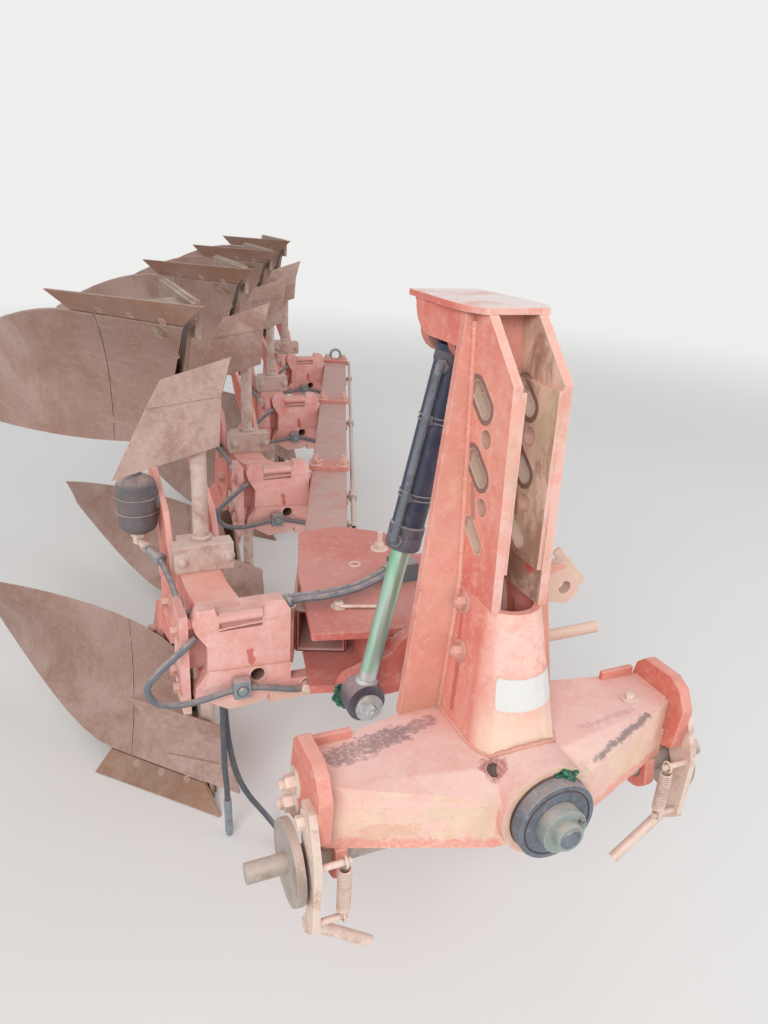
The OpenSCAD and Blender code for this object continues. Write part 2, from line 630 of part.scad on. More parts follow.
// The board's lower edge follows the share and then sweeps up, and its upper edge is one curve
lift = [0, 0, 5];
share_end = 0.34;
low_curve = [share_out + lift, share_out + lift + [-95, 102, 0], [-480, 760, 130], [-620, 1080, 270]];
top_curve = [[-62, 330, 405], [-160, 500, 470], [-480, 760, 480], [-660, 980, 420]];
function low_edge(u) = u < share_end ? mix(share_in, share_out, u / share_end) + lift :
    bez(low_curve, (u - share_end) / (1 - share_end));
function board_point(u, v) = let (low = low_edge(u), top = bez(top_curve, u), sag =
    4 * v * (1 - v) * (52 - 30 * u))
    low + (top - low) * v + sag * [0.3, 0.72, -0.6];
board_back = [0.35, 0.75, -0.45];
function board_rows(u0, u1, n, m, v0 = 0, v1 = 1) =
    [for (j = [0 : m]) [for (i = [0 : n]) board_point(mix(u0, u1, i / n), mix(v0, v1, j / m))]];
function behind(rows, d) = [for (row = rows) [for (p = row) p + d * board_back]];
// The shin ends and the mouldboard begins at shin_end, each with its own steps along the board
shin_end = 0.26;
shin_steps = 3;
board_steps = 9;
height_steps = 7;
seam = 0.002;
board_grid = [for (j = [1 : height_steps - 1]) concat(
    [for (i = [0 : shin_steps]) board_point(shin_end * i / shin_steps, j / height_steps)],
    [board_point(shin_end + seam + (1 - shin_end - seam) / board_steps, j / height_steps)])];
module body_place() machine() all_stations() both_levels() translate([tip_x, tip_y, 0]) children();
module mouldboards() color(rust) body_place()
    sheet(board_rows(shin_end + seam, 1, board_steps, height_steps), board_back * board_t);
module shins() color(rust) body_place() sheet(board_rows(0, shin_end, shin_steps, height_steps),
    board_back * board_t);
module shares() color(rust) body_place() sheet([for (b = [0, 1])
    [for (a = [0 : 0.25 : 1]) share_at(a, b)]], share_back);
landside_x = 2;
landside_y = 110;
module landsides() color(rust) body_place() translate([landside_x, landside_y, 0])
    cube([landside_t, landside_len, landside_h]);

// Frog: the plate beside the landside, the pads behind board and share, and the block in the leg
frog_t = 12;
pad_t = 12;
seat_gap = 1.7;
floor_gap = [12, 19];
frog_back_y = 1404 - tip_y;
frog_end_y = 1490 - tip_y;
frog_tail_y = frog_end_y + 100;
frog_wall = 16;
frog_low = 256;
frog_top = 420;
frog_outline = [[82, 3], [frog_tail_y, 3], [frog_tail_y, 86], [530, 120], [505, 300],
    [frog_end_y, frog_top], [frog_back_y, frog_top], [340, 392], [150, 76], [82, 40]];
leg_left_x = leg_x - leg_gap / 2 - tip_x;
leg_right_x = leg_x + leg_gap / 2 - tip_x;
module frogs() color(rust) body_place() {
    plate_x(landside_x - frog_t, frog_t, frog_outline);
    difference() {
        block([leg_left_x, frog_back_y, frog_low], [leg_right_x, frog_end_y, frog_top]);
        block([leg_left_x + frog_wall, frog_back_y + frog_wall, frog_low - frog_wall],
            [leg_right_x - frog_wall, frog_end_y - frog_wall, frog_top - frog_wall - 4]);
    }
    sheet([for (row = board_grid) [for (k = [0 : shin_steps + 1])
        row[k] + board_back * (board_t + 2 * fit)]],
        board_back * pad_t);
    difference() {
        sheet(behind(board_rows(0.04, 0.16, 1, 1, 0.45, 0.78), board_t + 12), board_back * 118);
        block([-300, frog_back_y, 100], [leg_left_x, frog_end_y + 100, 600]);
    }
    sheet([for (b = [0.06, 0.92]) [for (a = [0.12, 0.25, 0.5, 0.62])
        share_at(a, b) + share_back + [seat_gap, seat_gap, 0]]],
        [pad_t, pad_t, 0]);
    plate_z(18, frog_t, [plan(share_at(0.15, 0.46) + share_back) + floor_gap,
        plan(share_at(0.5, 0.46) + share_back) + floor_gap, [-100, 262], [landside_x - 2, 330],
            [landside_x - 2, 120]]);
}

// Skimmers: a small plate on a round stem, clamped under the leg's head
stem_x = -412;
stem_y = 1022;
stem_low = 196;
skimmer_clamp_h = 72;
clamp_reach = 46;
clamp_half = 75;
clamp_top_z = shaft_z - 80;
skimmer_rows = [
    [[-341, 944, 107], [-494, 1014, 170]],
    [[-363, 958, 200], [-530, 1026, 240]],
    [[-370, 966, 326], [-616, 1058, 425]]];
skimmer_back = [0.28, 0.93, 0];
function skimmer_at(u, v) = let (a = mix(skimmer_rows[1][0], skimmer_rows[2][0], v),
    b = mix(skimmer_rows[1][1], skimmer_rows[2][1], v)) mix(a, b, u);
module skimmer_stems() machine() color(steel) all_stations() both_levels() {
    rod_z(stem_x, stem_y, stem_low, stem_r, clamp_top_z - stem_low);
    sheet([for (v = [0.05, 0.8]) [for (u = [0.1, 0.45]) skimmer_at(u, v) + skimmer_back * skimmer_t]],
        [7, 24, 0]);
}
module skimmer_clamps() machine() color(steel) all_stations() both_levels() difference() {
    union() {
        block([leg_x - leg_gap / 2 + 6, stem_y - clamp_reach, clamp_top_z - skimmer_clamp_h],
            [leg_x + leg_gap / 2 - 6, stem_y + 40, clamp_top_z]);
        block([stem_x - clamp_half, stem_y - clamp_reach, clamp_top_z - skimmer_clamp_h],
            [stem_x + clamp_half, stem_y + 6, clamp_top_z]);
    }
    rod_z(stem_x, stem_y, stem_low, stem_r + 0.05, clamp_top_z - stem_low + cut);
}
module skimmers() machine() color(rust) all_stations() both_levels()
    sheet(skimmer_rows, skimmer_back * skimmer_t);

// Parking stand on the side that faces away from the lower bodies: bracket, hinge pin and leg
ear_t = 14;
ear_gap = 2;
ear_x = stand_w / 2 + ear_gap;
pivot_y = stand_y + 8;
pivot_r = 12;
arm_reach = [115, 45];
arm_front = stand_y - arm_reach[0];
arm_back = stand_y - arm_reach[1];
arm_wall = 8;
module stand_bracket() machine() color(paint) difference() {
    union() {
        difference() {
            block([70, arm_front, shaft_z - frame_gap / 2],
                [stand_x + ear_x + ear_t, arm_back, shaft_z + frame_gap / 2]);
            block([70 - cut, arm_front + arm_wall, shaft_z - frame_gap / 2 + arm_wall],
                [stand_x + ear_x, arm_back - arm_wall, shaft_z + frame_gap / 2 - arm_wall]);
        }
        for (side = [0, 1]) plate_x(stand_x - ear_x - ear_t + side * (2 * ear_x + ear_t), ear_t, concat(
            [[arm_front, shaft_z - 60], [arm_front, shaft_z + 40], [arm_back, shaft_z + 40]],
            arc(pivot_y, stand_pivot_z, 30, 60, -90, 8)));
        // Stop in front of the leg
        block([stand_x - 24, arm_back - 12, 596], [stand_x + 24, arm_back, shaft_z - frame_gap / 2 + 1]);
        block([stand_x - 24, arm_back - 12, 596], [stand_x + 24, stand_y - stand_w / 2 - 1, 626]);
    }
    rod_x(stand_x - 100, pivot_y, stand_pivot_z, pivot_r + 0.05, 200);
}
module stand_pin() machine() color(steel) {
    rod_x(stand_x - ear_x - ear_t, pivot_y, stand_pivot_z, pivot_r, 2 * (ear_x + ear_t));
    rod_x(stand_x + ear_x + ear_t, pivot_y, stand_pivot_z, 18, 8);
}
leg_wall = 6;
foot_t = 8;
stand_top = 24;
module stand_leg() machine() color(paint) difference() {
    union() {
        block([stand_x - stand_w / 2, stand_y - stand_w / 2, foot_t],
            [stand_x + stand_w / 2, stand_y + stand_w / 2, stand_pivot_z + stand_top]);
        block([stand_x - foot_w / 2, stand_y - foot_w / 2, 0],
            [stand_x + foot_w / 2, stand_y + foot_w / 2, foot_t]);
    }
    block([stand_x - stand_w / 2 + leg_wall, stand_y - stand_w / 2 + leg_wall, foot_t + leg_wall],
        [stand_x + stand_w / 2 - leg_wall, stand_y + stand_w / 2 - leg_wall, stand_pivot_z - 40]);
    rod_x(stand_x - 100, pivot_y, stand_pivot_z, pivot_r + 0.05, 200);
}

// Turnover ram, drawn down from its upper pin and leaned to the left
eye_x = -ram_len * sin(ram_lean);
eye_z = ram_top_z - ram_len * cos(ram_lean);
eye_r = 44;
eye_half = 26;
ram_pipe_turn = 40;
module ram_frame() translate([0, ram_y, ram_top_z]) rotate([0, ram_lean, 0]) children();
module ram_barrel() machine() color(dark) ram_frame() difference() {
    union() {
        rod_z(0, 0, -barrel_len, barrel_r, barrel_len - 30);
        rod_y(0, -barrel_r, 0, 36, 2 * barrel_r);
    }
    rod_z(0, 0, -barrel_len - cut, rod_r + 0.05, barrel_len - 60);
    rod_y(0, -barrel_r - cut, 0, ram_pin_r + 0.05, 2 * barrel_r + 2 * cut);
}
// Oil pipe down the barrel's left side, from its upper end to its lower one
ram_pipe_route = [
    [-barrel_r + 2, 0, -70], [-barrel_r - 10, 0, -70], [-barrel_r - 20, 0, -76], [-barrel_r - 24, 0, -92],
    [-barrel_r - 24, 0, -180], [-barrel_r - 22, 0, -300], [-barrel_r - 24, 0, -barrel_len + 42],
    [-barrel_r - 20, 0, -barrel_len + 28], [-barrel_r - 10, 0, -barrel_len + 22],
        [-barrel_r + 2, 0, -barrel_len + 22]];
module ram_pipe() machine() color(dark) difference() {
    ram_frame() rotate([0, 0, ram_pipe_turn]) union() {
        hose(ram_pipe_route, pipe_r);
        for (z = [-70, -barrel_len + 22]) rod_x(-barrel_r - 8, 0, z, 1.5 * pipe_r, 10);
    }
    ram_frame() rod_z(0, 0, -barrel_len, barrel_r + 0.02, barrel_len);
}
module ram_rod() machine() color(steel) ram_frame() rod_z(0, 0, -ram_len + 40, rod_r, 385);
module ram_eye() machine() color(dark) ram_frame() {
    difference() {
        rod_y(0, -eye_half, -ram_len, eye_r, 2 * eye_half);
        rod_z(0, 0, -ram_len + 40, rod_r, 20);
    }
    rod_y(0, -eye_half - 16, -ram_len, 22, 17);
}

// Two free hoses hang from glands under the first leg's head. One ends above the floor in a coupler that
// stands on it, and the other runs out over the floor into its coupler
free_route_1 = [
    [-406, 836, 610], [-406, 836, 585], [-406, 836, 540], [-406, 838, 480], [-406, 840, 420],
    [-405, 842, 360], [-404, 845, 300], [-401, 851, 258], [-397, 859, 224], [-395, 866, 192],
        [-393, 873, 160]];
free_route_2 = [
    [-396, 866, 612], [-396, 866, 588], [-396, 866, 540], [-395, 866, 480], [-391, 867, 410],
        [-384, 869, 340],
    [-372, 872, 270], [-354, 876, 205], [-330, 879, 148], [-301, 876, 98], [-275, 864, 58], [-256, 842, 31],
    [-247, 814, 17], [-243, 784, 13.5], [-243, 764, 13.5], [-243, 744, 13.5]];
// Each coupler goes on in the direction of its hose's end
coupler_1_turn = [2, 7, -32];
coupler_1_len = 160;
coupler_2_turn = [0, -1, 0];
coupler_2_len = 76;
coupler_r = 11;
module free_hose_1() machine() color(dark) hose(free_route_1, hose_r);
module free_hose_2() machine() color(dark) hose(free_route_2, hose_r);
// A fitting from one place in one direction: a sleeve, a hexagon and a nose
module coupler(from, turn, len, sleeve) let (d = unit(turn))
    translate(from) rotate([0, acos(d[2]), atan2(d[1], d[0])]) {
        cylinder(r = coupler_r, h = sleeve);
        translate([0, 0, sleeve]) cylinder(r = coupler_r + 2, h = len - sleeve - nose_len, $fn = 6);
        translate([0, 0, len - nose_len - cut]) cylinder(r = coupler_r - 2, h = nose_len + cut);
    }
nose_len = 20;
gland_top = [644, 648];
module gland(from, top) rod_z(from[0], from[1], from[2], coupler_r + 1, top - from[2]);
module hose_fittings() machine() color(steel) {
    gland(free_route_1[0], gland_top[0]);
    gland(free_route_2[0], gland_top[1]);
    coupler(free_route_1[len(free_route_1) - 1], coupler_1_turn, coupler_1_len, 120);
    coupler(free_route_2[len(free_route_2) - 1], coupler_2_turn, coupler_2_len, 36);
}

tower_plates();
tower_front();
tower_back_plate();
tower_cap();
crossbeam();
end_plates();
cross_shaft();
shaft_hangers();
latch_levers();
latch_springs();
ram_top_pin();
turnover_shaft();
thrust_disc();
shaft_nut();
turnover_head();
frame_plates();
main_beam();
beam_clamps();
reset_housing_1();
reset_housing_2();
reset_housing_3();
reset_housing_4();
reset_legs();
accumulators();
reset_hoses();
feed_hoses();
beam_pipe();
frogs();
landsides();
shares();
shins();
mouldboards();
skimmer_stems();
skimmer_clamps();
skimmers();
stand_bracket();
stand_pin();
stand_leg();
ram_barrel();
ram_pipe();
ram_rod();
ram_eye();
free_hose_1();
free_hose_2();
hose_fittings();
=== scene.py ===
import bmesh
import bpy
import math
import random
from mathutils import Matrix, Vector, noise
from mathutils.bvhtree import BVHTree


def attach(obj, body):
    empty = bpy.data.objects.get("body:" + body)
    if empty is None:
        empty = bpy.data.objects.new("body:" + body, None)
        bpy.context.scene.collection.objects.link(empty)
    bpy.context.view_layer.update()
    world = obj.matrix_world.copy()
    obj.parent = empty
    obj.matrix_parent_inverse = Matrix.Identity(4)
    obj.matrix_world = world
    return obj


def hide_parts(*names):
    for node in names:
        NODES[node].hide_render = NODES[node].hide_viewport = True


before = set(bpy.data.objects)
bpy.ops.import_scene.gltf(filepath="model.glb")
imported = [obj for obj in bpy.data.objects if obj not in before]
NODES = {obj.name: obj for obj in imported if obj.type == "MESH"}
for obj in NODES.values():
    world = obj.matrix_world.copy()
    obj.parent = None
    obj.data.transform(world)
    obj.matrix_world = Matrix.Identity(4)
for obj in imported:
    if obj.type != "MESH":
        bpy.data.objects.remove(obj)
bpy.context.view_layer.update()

# Drawing places are counted from the turnover shaft's front end, in metres, with the height from the floor.
SHAFT_X = 0.03
FRONT_Y = -2.43
SHAFT_Z = 0.74
STATIONS = 4
FURROW = 0.35
PITCH = 0.94
FRONT, UP, DOWN = (0, -1, 0), (0, 0, 1), (0, 0, -1)
MIRRORS = (-1, 1)


def at(x, y, z):
    """A drawing place in the shared frame."""
    return Vector((x + SHAFT_X, y + FRONT_Y, z))


def along(place, station=0, upper=False):
    """A drawing place of the first lower body, at another station or turned over to the upper row."""
    x, y, z = place
    return at(x + FURROW * station, y + PITCH * station, 2 * SHAFT_Z - z if upper else z)


def facing(direction, upper=False):
    """A direction, turned over for the upper row."""
    x, y, z = direction
    return Vector((x, y, -z if upper else z))


def show(name, data):
    """A new object in the scene."""
    made = bpy.data.objects.new(name, data)
    bpy.context.scene.collection.objects.link(made)
    return made


# Camera: the photograph's own viewpoint, tilt and lens.
FOCAL_PIXELS = 769.0
FRAME_PIXELS = 1024.0
SENSOR_MM = 36.0
EYE = (-0.702, -3.243, 1.72)
heading, pitch, roll = (math.radians(degrees) for degrees in (24.4, 21.9, 3.3))
level_right = Vector((math.cos(heading), -math.sin(heading), 0))
forward = Vector((math.sin(heading) * math.cos(pitch), math.cos(heading) * math.cos(pitch), -math.sin(pitch)))
right = level_right * math.cos(roll) + level_right.cross(forward) * math.sin(roll)
camera_data = bpy.data.cameras.new("photo_camera")
camera_data.sensor_width = SENSOR_MM
camera_data.sensor_fit = "AUTO"
camera_data.lens = FOCAL_PIXELS / FRAME_PIXELS * SENSOR_MM
camera_data.clip_end = 200
camera = show("photo_camera", camera_data)
camera_turn = Matrix((right, right.cross(forward), -forward)).transposed().to_4x4()
camera.matrix_world = Matrix.Translation(EYE) @ camera_turn
bpy.context.scene.camera = camera
bpy.context.scene.view_settings.view_transform = "Standard"

# Free hoses: the routes' points, in metres, as they hang from the first leg and lie on the floor.
HOSE_RADIUS = 0.008
HOSE_ROUTES = {
    "free_hose_1": [
        (-0.406, 0.836, 0.61), (-0.406, 0.836, 0.585), (-0.406, 0.836, 0.54), (-0.406, 0.838, 0.48),
        (-0.406, 0.84, 0.42), (-0.405, 0.842, 0.36), (-0.404, 0.845, 0.3), (-0.401, 0.851, 0.258),
        (-0.397, 0.859, 0.224), (-0.395, 0.866, 0.192), (-0.393, 0.873, 0.16)],
    "free_hose_2": [
        (-0.396, 0.866, 0.612), (-0.396, 0.866, 0.588), (-0.396, 0.866, 0.54), (-0.395, 0.866, 0.48),
        (-0.391, 0.867, 0.41), (-0.384, 0.869, 0.34), (-0.372, 0.872, 0.27), (-0.354, 0.876, 0.205),
        (-0.33, 0.879, 0.148), (-0.301, 0.876, 0.098), (-0.275, 0.864, 0.058), (-0.256, 0.842, 0.031),
        (-0.247, 0.814, 0.017), (-0.243, 0.784, 0.0135), (-0.243, 0.764, 0.0135), (-0.243, 0.744, 0.0135)],
}


def smooth(points, steps=6):
    """A smooth line through the points, with some steps between each two."""
    out = []
    for i in range(len(points) - 1):
        a, b, c, d = points[max(i - 1, 0)], points[i], points[i + 1], points[min(i + 2, len(points) - 1)]
        for j in range(steps):
            t = j / steps
            out.append(0.5 * (2 * b + (c - a) * t + (2 * a - 5 * b + 4 * c - d) * t ** 2
                              + (3 * b - a - 3 * c + d) * t ** 3))
    return out + [points[-1]]


def free_hose(name, route):
    """A hose as a round curve along its route, standing for its CAD solid, and its length."""
    line = smooth([at(*point) for point in route])
    data = bpy.data.curves.new(name + "_curve", "CURVE")
    data.dimensions = "3D"
    data.bevel_depth = HOSE_RADIUS
    data.bevel_resolution = 4
    data.use_fill_caps = True
    spline = data.splines.new("POLY")
    spline.points.add(len(line) - 1)
    for point, place in zip(spline.points, line):
        point.co = (*place, 1)
    piece = show(name + "_curve", data)
    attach(piece, "plough_frame")
    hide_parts(name)
    return piece, sum((b - a).length for a, b in zip(line, line[1:]))


hose_pieces = []
for hose_name, hose_lay in (("free_hose_1", "hanging"), ("free_hose_2", "loose")):
    hose_piece, hose_length = free_hose(hose_name, HOSE_ROUTES[hose_name])
    hose_pieces.append(hose_piece)


def rgb(screen):
    """A colour as a screen shows it, in hexadecimal, as the linear values that a shader takes."""
    shares = [value / 255 for value in bytes.fromhex(screen)]
    return (*[s / 12.92 if s <= 0.04045 else ((s + 0.055) / 1.055) ** 2.4 for s in shares], 1.0)


def feed(tree, target, value):
    """Links a socket or sets a value. A colour may be one of a screen, in hexadecimal."""
    if isinstance(value, bpy.types.NodeSocket):
        tree.links.new(value, target)
    else:
        target.default_value = rgb(value) if isinstance(value, str) else value


def add_node(tree, kind, inputs=(), **settings):
    """A new shader node with its settings, and with its inputs fed."""
    made = tree.nodes.new("ShaderNode" + kind)
    for key, value in settings.items():
        setattr(made, key, value)
    for key, value in dict(inputs).items():
        feed(tree, made.inputs[key], value)
    return made


MATERIALS = {}


class Graph:
    """A material, the shader nodes that it is made of, and the colour laid on so far."""

    def __init__(self, name, shift=0):
        self.material = MATERIALS[name] = bpy.data.materials.new(name)
        self.material.use_nodes = True
        self.tree = self.material.node_tree
        self.tree.nodes.clear()
        self.shader = self.add("BsdfPrincipled")
        self.output = self.add("OutputMaterial", {"Surface": self.shader.outputs["BSDF"]})
        self.place = self.add("TexCoord")
        self.shift = shift
        self.colour = None

    def add(self, kind, inputs=(), **settings):
        return add_node(self.tree, kind, inputs, **settings)

    def patches(self, size, detail=4.0, rough=0.55, twist=0.0, shift=0.0, stretch=(1, 1, 1)):
        """Smooth random patches about size metres across, from 0 to 1."""
        moved = self.shift + shift
        mapping = self.add("Mapping", {
            "Scale": stretch, "Location": (moved, moved * 0.7, moved * 1.3),
            "Vector": self.place.outputs["Object"]})
        made = self.add("TexNoise", {
            "Scale": 1.0 / size, "Detail": detail, "Roughness": rough, "Distortion": twist,
            "Vector": mapping.outputs["Vector"]})
        return made.outputs["Fac"]

    def span(self, value, low, high, to_low=0.0, to_high=1.0):
        """Maps low..high smoothly to to_low..to_high."""
        made = self.add("MapRange", {
            "Value": value, "From Min": low, "From Max": high, "To Min": to_low, "To Max": to_high},
            interpolation_type="SMOOTHSTEP")
        return made.outputs["Result"]

    def math(self, operation, first, second=0.0):
        return self.add("Math", {0: first, 1: second}, operation=operation).outputs[0]

    def times(self, first, second):
        return self.math("MULTIPLY", first, second)

    def minus(self, first, second):
        return self.math("SUBTRACT", first, second)

    def mix(self, share, first, second):
        """Colour first where share is 0 and second where it is 1."""
        made = self.add("Mix", {"Factor": share, "A": first, "B": second}, data_type="RGBA")
        return made.outputs["Result"]

    def coat(self, mask, amount, tint):
        """Lays a colour over what is there, where the mask is 1 and by amount at the most."""
        self.colour = self.mix(self.times(mask, amount), self.colour, tint)

    def edges(self, width):
        """1 on outer and inner edges, 0 on flats."""
        bevel = self.add("Bevel", {"Radius": width}, samples=4)
        geometry = self.add("NewGeometry")
        dot = self.add("VectorMath", {0: bevel.outputs["Normal"], 1: geometry.outputs["Normal"]},
                       operation="DOT_PRODUCT")
        return self.span(self.minus(1.0, dot.outputs["Value"]), 0.02, 0.25)

    def corners(self, reach):
        """1 in inner corners and under overhangs, 0 in the open: the mask for painted shade."""
        made = self.add("AmbientOcclusion", {"Distance": reach}, samples=4)
        return self.minus(1.0, made.outputs["AO"])

    def coordinate(self, axis, source="Object"):
        """One coordinate of the place in metres, or of the normal."""
        return self.add("SeparateXYZ", {0: self.place.outputs[source]}).outputs[axis]

    def turned(self, axis, low, high):
        """1 where the surface looks along one axis of the machine at rest."""
        return self.span(self.coordinate(axis, "Normal"), low, high)

    def from_line(self, first, second):
        """Distance in metres from the line between two drawing places. A None leaves its axis out."""
        keep = Vector([0.0 if value is None else 1.0 for value in first])
        start, end = [at(*[value or 0.0 for value in place]) * keep for place in (first, second)]
        length = max((end - start).length, 0.0001)
        course = (end - start) / length
        flat = self.add("VectorMath", {0: self.place.outputs["Object"], 1: keep, 2: -start},
                        operation="MULTIPLY_ADD").outputs[0]
        reached = self.add("VectorMath", {0: flat, 1: course}, operation="DOT_PRODUCT").outputs["Value"]
        held = self.math("MINIMUM", self.math("MAXIMUM", reached, 0.0), length)
        foot = self.add("VectorMath", {0: course, "Scale": held}, operation="SCALE").outputs[0]
        return self.add("VectorMath", {0: flat, 1: foot}, operation="DISTANCE").outputs["Value"]

    def finish(self, roughness, bumps=(), metallic=0.0, specular=0.5):
        """Feeds the shader. bumps holds triples of height, depth in metres and strength."""
        for socket, value in (("Base Color", self.colour), ("Roughness", roughness), ("Metallic", metallic),
                              ("Specular IOR Level", specular)):
            feed(self.tree, self.shader.inputs[socket], value)
        below = self.shader
        for height, depth, strength in reversed(bumps):
            made = self.add("Bump", {"Strength": strength, "Distance": depth, "Height": height})
            feed(self.tree, below.inputs["Normal"], made.outputs["Normal"])
            below = made


DUST_PALE = "eed0c4"
# Dark brown of dirt, also laid as painted shade in corners.
GRIME_AND_SHADE = "7a6054"
BARE_STEEL = "806e66"
RUST = "8e5a44"
MOSS = "beb08e"


def worn_paint(name, red, faded, dusty, shift, cover, lying, grime_and_shade, film_and_front_light=None, low_tint=None, inside=False,
               marks=(), top_tint=None):
    """Weathered paint: faded patches, dust, dirt in patches, front faces painted paler as painted light,
    painted shade in corners, worn rims, chips, and its own marks.
    """
    graph = Graph(name, shift)
    coat, patches, span, times, mix = graph.coat, graph.patches, graph.span, graph.times, graph.mix
    small = patches(0.045, 5, 0.6, 0.2, 3)
    fine = patches(0.005, 4, 0.6, 0, 7)
    mottle = patches(0.018, 7, 0.74, 0.5, 17)
    graph.colour = mix(span(patches(0.26, 4, 0.55, 0.3), 0.36, 0.62), red, faded)
    coat(span(small, 0.66 - 0.36 * cover, 1.0 - 0.36 * cover), 0.8, dusty)
    coat(span(patches(0.03, 4, 0.6, 0.1, 11, (1, 1, 0.12)), 0.52, 0.72), 0.25, dusty)
    coat(span(mottle, 0.52, 0.66), 0.5, dusty)
    coat(span(mottle, 0.47, 0.36), 0.45, red)
    # Painted light: faces turned to the front are painted paler in dusty colours, as on the lit side.
    if film_and_front_light:
        near, second, amount = film_and_front_light
        spread = span(patches(0.16, 4, 0.6, 0.5, 29), 0.25, 0.5, 0.45, 1.0)
        tone = mix(span(patches(0.09, 5, 0.65, 0.6, 31), 0.46, 0.66), near, second)
        pinker = times(span(patches(0.055, 6, 0.7, 0.4, 63), 0.46, 0.62), 0.75)
        tone = mix(pinker, tone, mix(mottle, dusty, faded))
        tone = mix(times(span(mottle, 0.46, 0.38), 0.35), tone, faded)
        coat(times(graph.turned("Y", 0.15, -0.75), spread), amount, tone)
    if low_tint:
        tint, high, low, amount = low_tint
        uneven = graph.math("ADD", graph.coordinate("Z"), times(graph.minus(small, 0.5), 0.05))
        coat(times(span(uneven, high, low), graph.turned("Y", 0.15, -0.6)), amount, tint)
    if inside:
        off_centre = graph.minus(graph.coordinate("X"), SHAFT_X)
        inner = span(times(off_centre, graph.coordinate("X", "Normal")), -0.005, -0.025)
        streaks = span(patches(0.08, 6, 0.7, 0.5, 41, (1, 1, 0.5)), 0.42, 0.6)
        stain = mix(streaks, "e6cab8", "9e7c68")
        green = span(patches(0.09, 5, 0.65, 0.7, 43, (1, 1, 0.5)), 0.5, 0.64)
        coat(inner, 0.9, mix(times(green, 0.7), stain, MOSS))
    spread = span(patches(0.1, 6, 0.68, 0.3, 5), 0.26, 0.6, 0.35, 1.0)
    coat(times(graph.turned("Z", 0.15, 0.8), spread), lying, top_tint or dusty)
    rag = graph.minus(patches(0.018, 7, 0.75, 0.4, 47), 0.5) if marks else None
    for first, second, reach, ragged, tint, amount in marks:
        apart = graph.math("ADD", graph.from_line(first, second), times(rag, ragged * 4))
        soft = 0.0008 + ragged * 0.2
        mask = span(apart, reach + soft, reach - soft)
        if ragged > 0.009:
            mask = times(mask, span(patches(0.008, 5, 0.7, 0, 61), 0.36, 0.58, 0.3, 1.0))
        coat(mask, amount, tint)
    graph.colour = mix(0.06, graph.colour, "eed8d0")
    # Painted shade: inner corners and overhangs are darkened in dirt colours, as shade falls there.
    corner_shade = times(span(graph.corners(0.045), 0.3, 0.8), span(small, 0.25, 0.6, 0.35, 1.0))
    coat(corner_shade, 0.3 + 0.5 * grime_and_shade, mix(small, GRIME_AND_SHADE, "b0927e"))
    coat(span(patches(0.08, 7, 0.72, 0.6, 13), 0.76 - 0.2 * grime_and_shade, 0.88 - 0.16 * grime_and_shade), 0.5, GRIME_AND_SHADE)
    edge = graph.edges(0.005)
    broken = patches(0.022, 5, 0.7, 0, 19)
    coat(edge, span(broken, 0.34, 0.56, 0.1, 0.7), DUST_PALE)
    chips = graph.math("MAXIMUM", times(edge, span(broken, 0.6, 0.66)),
                       span(patches(0.011, 5, 0.75, 0, 23), 0.7, 0.73))
    coat(chips, 0.85, mix(fine, BARE_STEEL, RUST))
    coat(span(patches(0.0045, 4, 0.7, 0, 53), 0.6, 0.68), 0.35, "8c5c50")
    coat(span(patches(0.01, 5, 0.75, 0.2, 59, (0.35, 0.35, 1.5)), 0.66, 0.71), 0.55, "f6dace")
    graph.finish(span(small, 0.3, 0.7, 0.5, 0.8), specular=0.35, bumps=(
        (small, 0.002, 0.6), (mottle, 0.0008, 0.6), (fine, 0.0005, 0.7), (chips, -0.0006, 0.9)))


def soil_steel(name, base, pale, rust, dark, shift, flow=(1, 1, 1), dust=0.3):
    """Steel that soil has scoured and rust has dulled since: soft brown patches, flow lines, pale rims, and
    painted shade in corners.
    """
    graph = Graph(name, shift)
    coat, patches, span, times = graph.coat, graph.patches, graph.span, graph.times
    broad = patches(0.3, 4, 0.55, 0.5)
    small = patches(0.035, 6, 0.65, 0.3, 3)
    lines = patches(0.014, 4, 0.6, 0.05, 5, flow)
    mottle = patches(0.014, 6, 0.72, 0.3, 37)
    graph.colour = graph.mix(span(broad, 0.34, 0.66), base, pale)
    coat(span(patches(0.2, 6, 0.68, 0.8, 21), 0.44, 0.66), 0.7, rust)
    coat(span(lines, 0.45, 0.75), 0.3, pale)
    coat(span(small, 0.58, 0.78), 0.3, dark)
    lying = times(graph.turned("Z", 0.3, 0.9), span(patches(0.09, 6, 0.7, 0, 13), 0.42, 0.62))
    coat(lying, dust, "c0ae9c")
    coat(graph.edges(0.004), span(small, 0.3, 0.6, 0.35, 0.9), "ccb8aa")
    # Painted shade: corners and overhangs are darkened with the dark colour.
    coat(times(span(graph.corners(0.05), 0.3, 0.8), span(small, 0.3, 0.6, 0.4, 1.0)), 0.55, dark)
    coat(span(mottle, 0.52, 0.64), 0.36, pale)
    coat(span(mottle, 0.47, 0.37), 0.36, rust)
    coat(span(patches(0.006, 5, 0.75, 0.1, 41, (0.12, 0.12, 1.2)), 0.64, 0.7), 0.45, "d6c4b8")
    coat(span(patches(0.009, 5, 0.75, 0, 33), 0.68, 0.74), 0.5, dark)
    graph.finish(span(broad, 0.3, 0.7, 0.48, 0.64), metallic=0.12, specular=0.45, bumps=(
        (small, 0.0008, 0.4), (lines, 0.0004, 0.4), (patches(0.0035, 3, 0.6, 0, 9), 0.0003, 0.5)))


